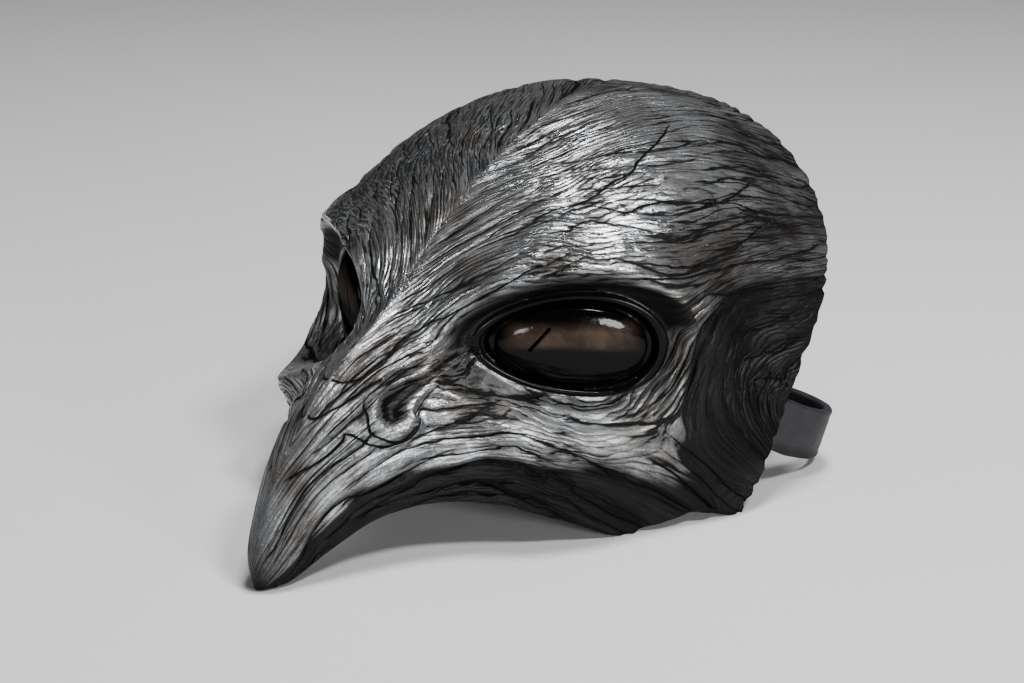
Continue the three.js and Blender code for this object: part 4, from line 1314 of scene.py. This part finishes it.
def cast_metal():
    """Burnished ridges over a blackened ground, with fine hair-like scores along the grain, and painted
    highlights and shade in the ridges' brightness.
    """
    f = Finish("cast_metal")
    grain = f.node("UVMap", {"uv_map": "grain"})
    place = f.node("TexCoord", output="Object")
    gloss = f.attribute("gloss")
    lid_black_and_painted_shade = f.attribute("lid_black_and_painted_shade")
    streaks = f.noise(f.stretched(grain, STREAKS), scale=1, detail=4, roughness=0.65)
    patches = f.noise(f.stretched(grain, PATCHES), scale=1)
    wobble = (f.noise(f.stretched(grain, WOBBLES), scale=1, detail=3) - 0.5) * WOBBLE
    speckle = f.noise(place, scale=1500, detail=3, roughness=0.7)
    cloud = f.noise(place, scale=55, detail=3, roughness=0.6)
    scores = f.score("fold", FOLD, wobble) + f.score("crack", CRACK, wobble) * CRACK_SCORES
    scores = scores + f.score("flank", FLANK, wobble)
    from_crack = f.attribute("from_crack") + wobble * WOBBLE_ON_CRACKS
    scores = scores + f.line(from_crack, 0, LARGE_CRACK["line"]) * f.attribute("large_keep")
    ring = f.line(f.attribute("from_pit"), NOSTRIL_RINGS["at"], RING_LINE)
    scores = scores + ring * f.attribute("pit_rings")
    ridges = (f.near("hair", HAIR, wobble) * (2 / HAIR["spacing"])) ** RIDGE_POWER
    hair_keep = f.attribute("hair_keep")
    hairs = f.ramped(ridges, *HAIR_LINE) * f.ramped(patches, *HAIRY) * hair_keep
    dark = f.attribute("sunk") * DARK["sunk"] + scores * DARK["scores"] + hairs * DARK["hairs"]
    dark = dark + f.attribute("pit") * DARK["pit"] + (streaks - 0.5) * DARK["streaks"]
    worn = f.ramped(dark + (cloud - 0.5) * DARK["cloud"], *WEAR) ** WEAR_POWER
    flecked = f.ramped(speckle, *FLECKED)
    # The ridges' brightness read here carries painted highlights and painted shade, and the eye's attribute
    # painted shade round the eye with the black lids
    bright = worn * f.attribute("burnish_and_painted_light") * flecked * (1 - lid_black_and_painted_shade)
    warm = f.mixed(f.ramped(cloud, *WARMED) * WARM_SHARE, SILVER, WARM_GREY)
    metal = f.mixed(f.attribute("brown") * f.ramped(cloud, *COPPERED), warm, COPPERY)
    rough = f.ramped(bright, *ROUGHENED) + (speckle - 0.5) * ROUGH["speckle"]
    rough = rough - gloss * ROUGH["gloss"] + f.attribute("satin") * ROUGH["satin"]
    ridged = ridges * f.ramped(patches, *RIDGED) * hair_keep
    height = streaks * FINE["streaks"] + speckle * FINE["speckle"] + ridged - scores * FINE["scores"]
    dents = f.noise(place, scale=420, detail=3, roughness=0.6) * (1 - hair_keep)
    height = height + dents * FINE["dents"]
    f.shader.inputs["Specular IOR Level"].default_value = 0.1
    return f.shade(
        Base_Color=f.mixed(bright, BLACKENED, metal),
        Metallic=f.ramped(bright, *METALLIC),
        Roughness=rough,
        Normal=f.bumped(height * (1 - gloss), MM),
    )


# The lens's colours, among them the browns of its painted reflection, the ranges of that brown and of its
# roughness, its fine dents, and the share of light that its glaze reflects
LENS_BLACK = (0.001, 0.001, 0.001, 1)
REFLECTION_BROWN_DARK = (0.018, 0.0115, 0.008, 1)
REFLECTION_BROWN_LIGHT = (0.052, 0.034, 0.023, 1)
REFLECTION_BROWN_CLOUD = (0.35, 0.7)
LENS_ROUGH = (0.45, 0.8, 0.07, 0.2)
LENS_DENTS = {"distance": 0.0004, "strength": 0.25}
LENS_SHINE = 0.012


def eye_gloss():
    """A dark polished lens with a painted brown reflection in a band round the slit."""
    f = Finish("eye_gloss")
    place = f.node("TexCoord", output="Object")
    brown_reflection = f.attribute("brown_reflection")
    cloud = f.noise(place, scale=160, detail=4, roughness=0.6)
    flecks = f.noise(place, scale=1400, detail=2, roughness=0.5)
    brown = f.mixed(f.ramped(cloud, *REFLECTION_BROWN_CLOUD), REFLECTION_BROWN_DARK, REFLECTION_BROWN_LIGHT)
    base = f.mixed(brown_reflection, LENS_BLACK, brown)
    rough = f.ramped(flecks, *LENS_ROUGH)
    normal = f.bumped(cloud, **LENS_DENTS)
    f.shader.inputs["Specular IOR Level"].default_value = 0
    shine = f.node("BsdfGlossy", {}, {"Roughness": rough, "Normal": normal})
    f.glaze(shine, LENS_SHINE)
    return f.shade(Base_Color=base, Roughness=rough, Normal=normal)


# The strap's colours: the two between which its face varies, and its bare cut edge. Then the ranges
# of its clouds and of its roughness, and its fine relief
LEATHER_DARK = (0.011, 0.01, 0.012, 1)
LEATHER_LIGHT = (0.021, 0.019, 0.023, 1)
LEATHER_EDGE = (0.006, 0.0035, 0.0025, 1)
LEATHER_CLOUD = (0.3, 0.7)
LEATHER_ROUGH = (0, 0.6, 0.72, 0.5)
LEATHER_RELIEF = {"pebbles": 0.6, "cloud": 0.4}
LEATHER_DENTS = {"distance": 0.0003, "strength": 0.6}


def strap_leather():
    """Dark matt leather with a pebbled grain and a brown cut edge."""
    f = Finish("strap_leather")
    grain = f.node("UVMap", {"uv_map": "grain"})
    edge = f.attribute("cut_edge")
    pebbles = f.node("TexVoronoi", {"feature": "F1"}, {"Vector": grain, "Scale": 150.0})
    cloud = f.noise(grain, scale=14, detail=4, roughness=0.6)
    face = f.mixed(f.ramped(cloud, *LEATHER_CLOUD), LEATHER_DARK, LEATHER_LIGHT)
    base = f.mixed(edge, face, LEATHER_EDGE)
    height = pebbles * LEATHER_RELIEF["pebbles"] + cloud * LEATHER_RELIEF["cloud"]
    f.shader.inputs["Specular IOR Level"].default_value = 0.2
    return f.shade(
        Base_Color=base,
        Roughness=f.ramped(pebbles, *LEATHER_ROUGH),
        Normal=f.bumped(height, **LEATHER_DENTS),
    )


# The floor's darkest and lightest grey
FLOOR_SHADES = (0.47, 0.53)


def floor_paper():
    """Pale matt paper with a faint fibre."""
    f = Finish("floor_paper")
    place = f.node("TexCoord", output="Object")
    fibre = f.noise(place, scale=600, detail=3, roughness=0.6)
    base = f.mixed(fibre, *[colour(shade) for shade in FLOOR_SHADES])
    return f.shade(Base_Color=base, Roughness=0.85)


mask = make_shell()
mask.data.materials.append(cast_metal())
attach(mask, "root")
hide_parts("mask_shell")

gloss = eye_gloss()
for side, node in ((1, "eye_left"), (-1, "eye_right")):
    lens = make_lens(side)
    lens.data.materials.append(gloss)
    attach(lens, "root")
    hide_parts(node)

band = make_strap()
band.data.materials.append(strap_leather())
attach(band, "root")
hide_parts("head_strap")

# A wide pale floor and soft studio lights that face one point: place, size and strength of each
FLOOR_SIZE = 8
LIT_POINT = Vector((0.0, 0.0, 0.05))
LIGHTS = [
    ((0.1, 0.1, 1.1), 0.3, 17),
    ((0.6, -0.05, 1.0), 0.24, 12),
    ((-0.9, -0.35, 0.75), 0.45, 2),
    ((1.1, -0.45, 0.28), 0.3, 11),
    ((0.7, -1.1, 0.2), 0.2, 3.5),
]
AMBIENT_TINT = (0.8, 0.82, 0.85, 1)
AMBIENT_STRENGTH = 0.06

bm = bmesh.new()
bmesh.ops.create_grid(bm, x_segments=4, y_segments=4, size=FLOOR_SIZE / 2)
floor_mesh = bpy.data.meshes.new("floor")
bm.to_mesh(floor_mesh)
floor = added("floor", floor_mesh)
floor_mesh.materials.append(floor_paper())

for place, size, power in LIGHTS:
    lamp = bpy.data.lights.new("softbox", "AREA")
    lamp.shape = "DISK"
    lamp.size = size
    lamp.energy = power
    light = bpy.data.objects.new("softbox", lamp)
    light.location = place
    light.rotation_euler = (LIT_POINT - Vector(place)).to_track_quat("-Z", "Y").to_euler()
    bpy.context.scene.collection.objects.link(light)

world = bpy.data.worlds.new("studio")
world.use_nodes = True
ambient = world.node_tree.nodes["Background"]
ambient.inputs["Color"].default_value = AMBIENT_TINT
ambient.inputs["Strength"].default_value = AMBIENT_STRENGTH
bpy.context.scene.world = world
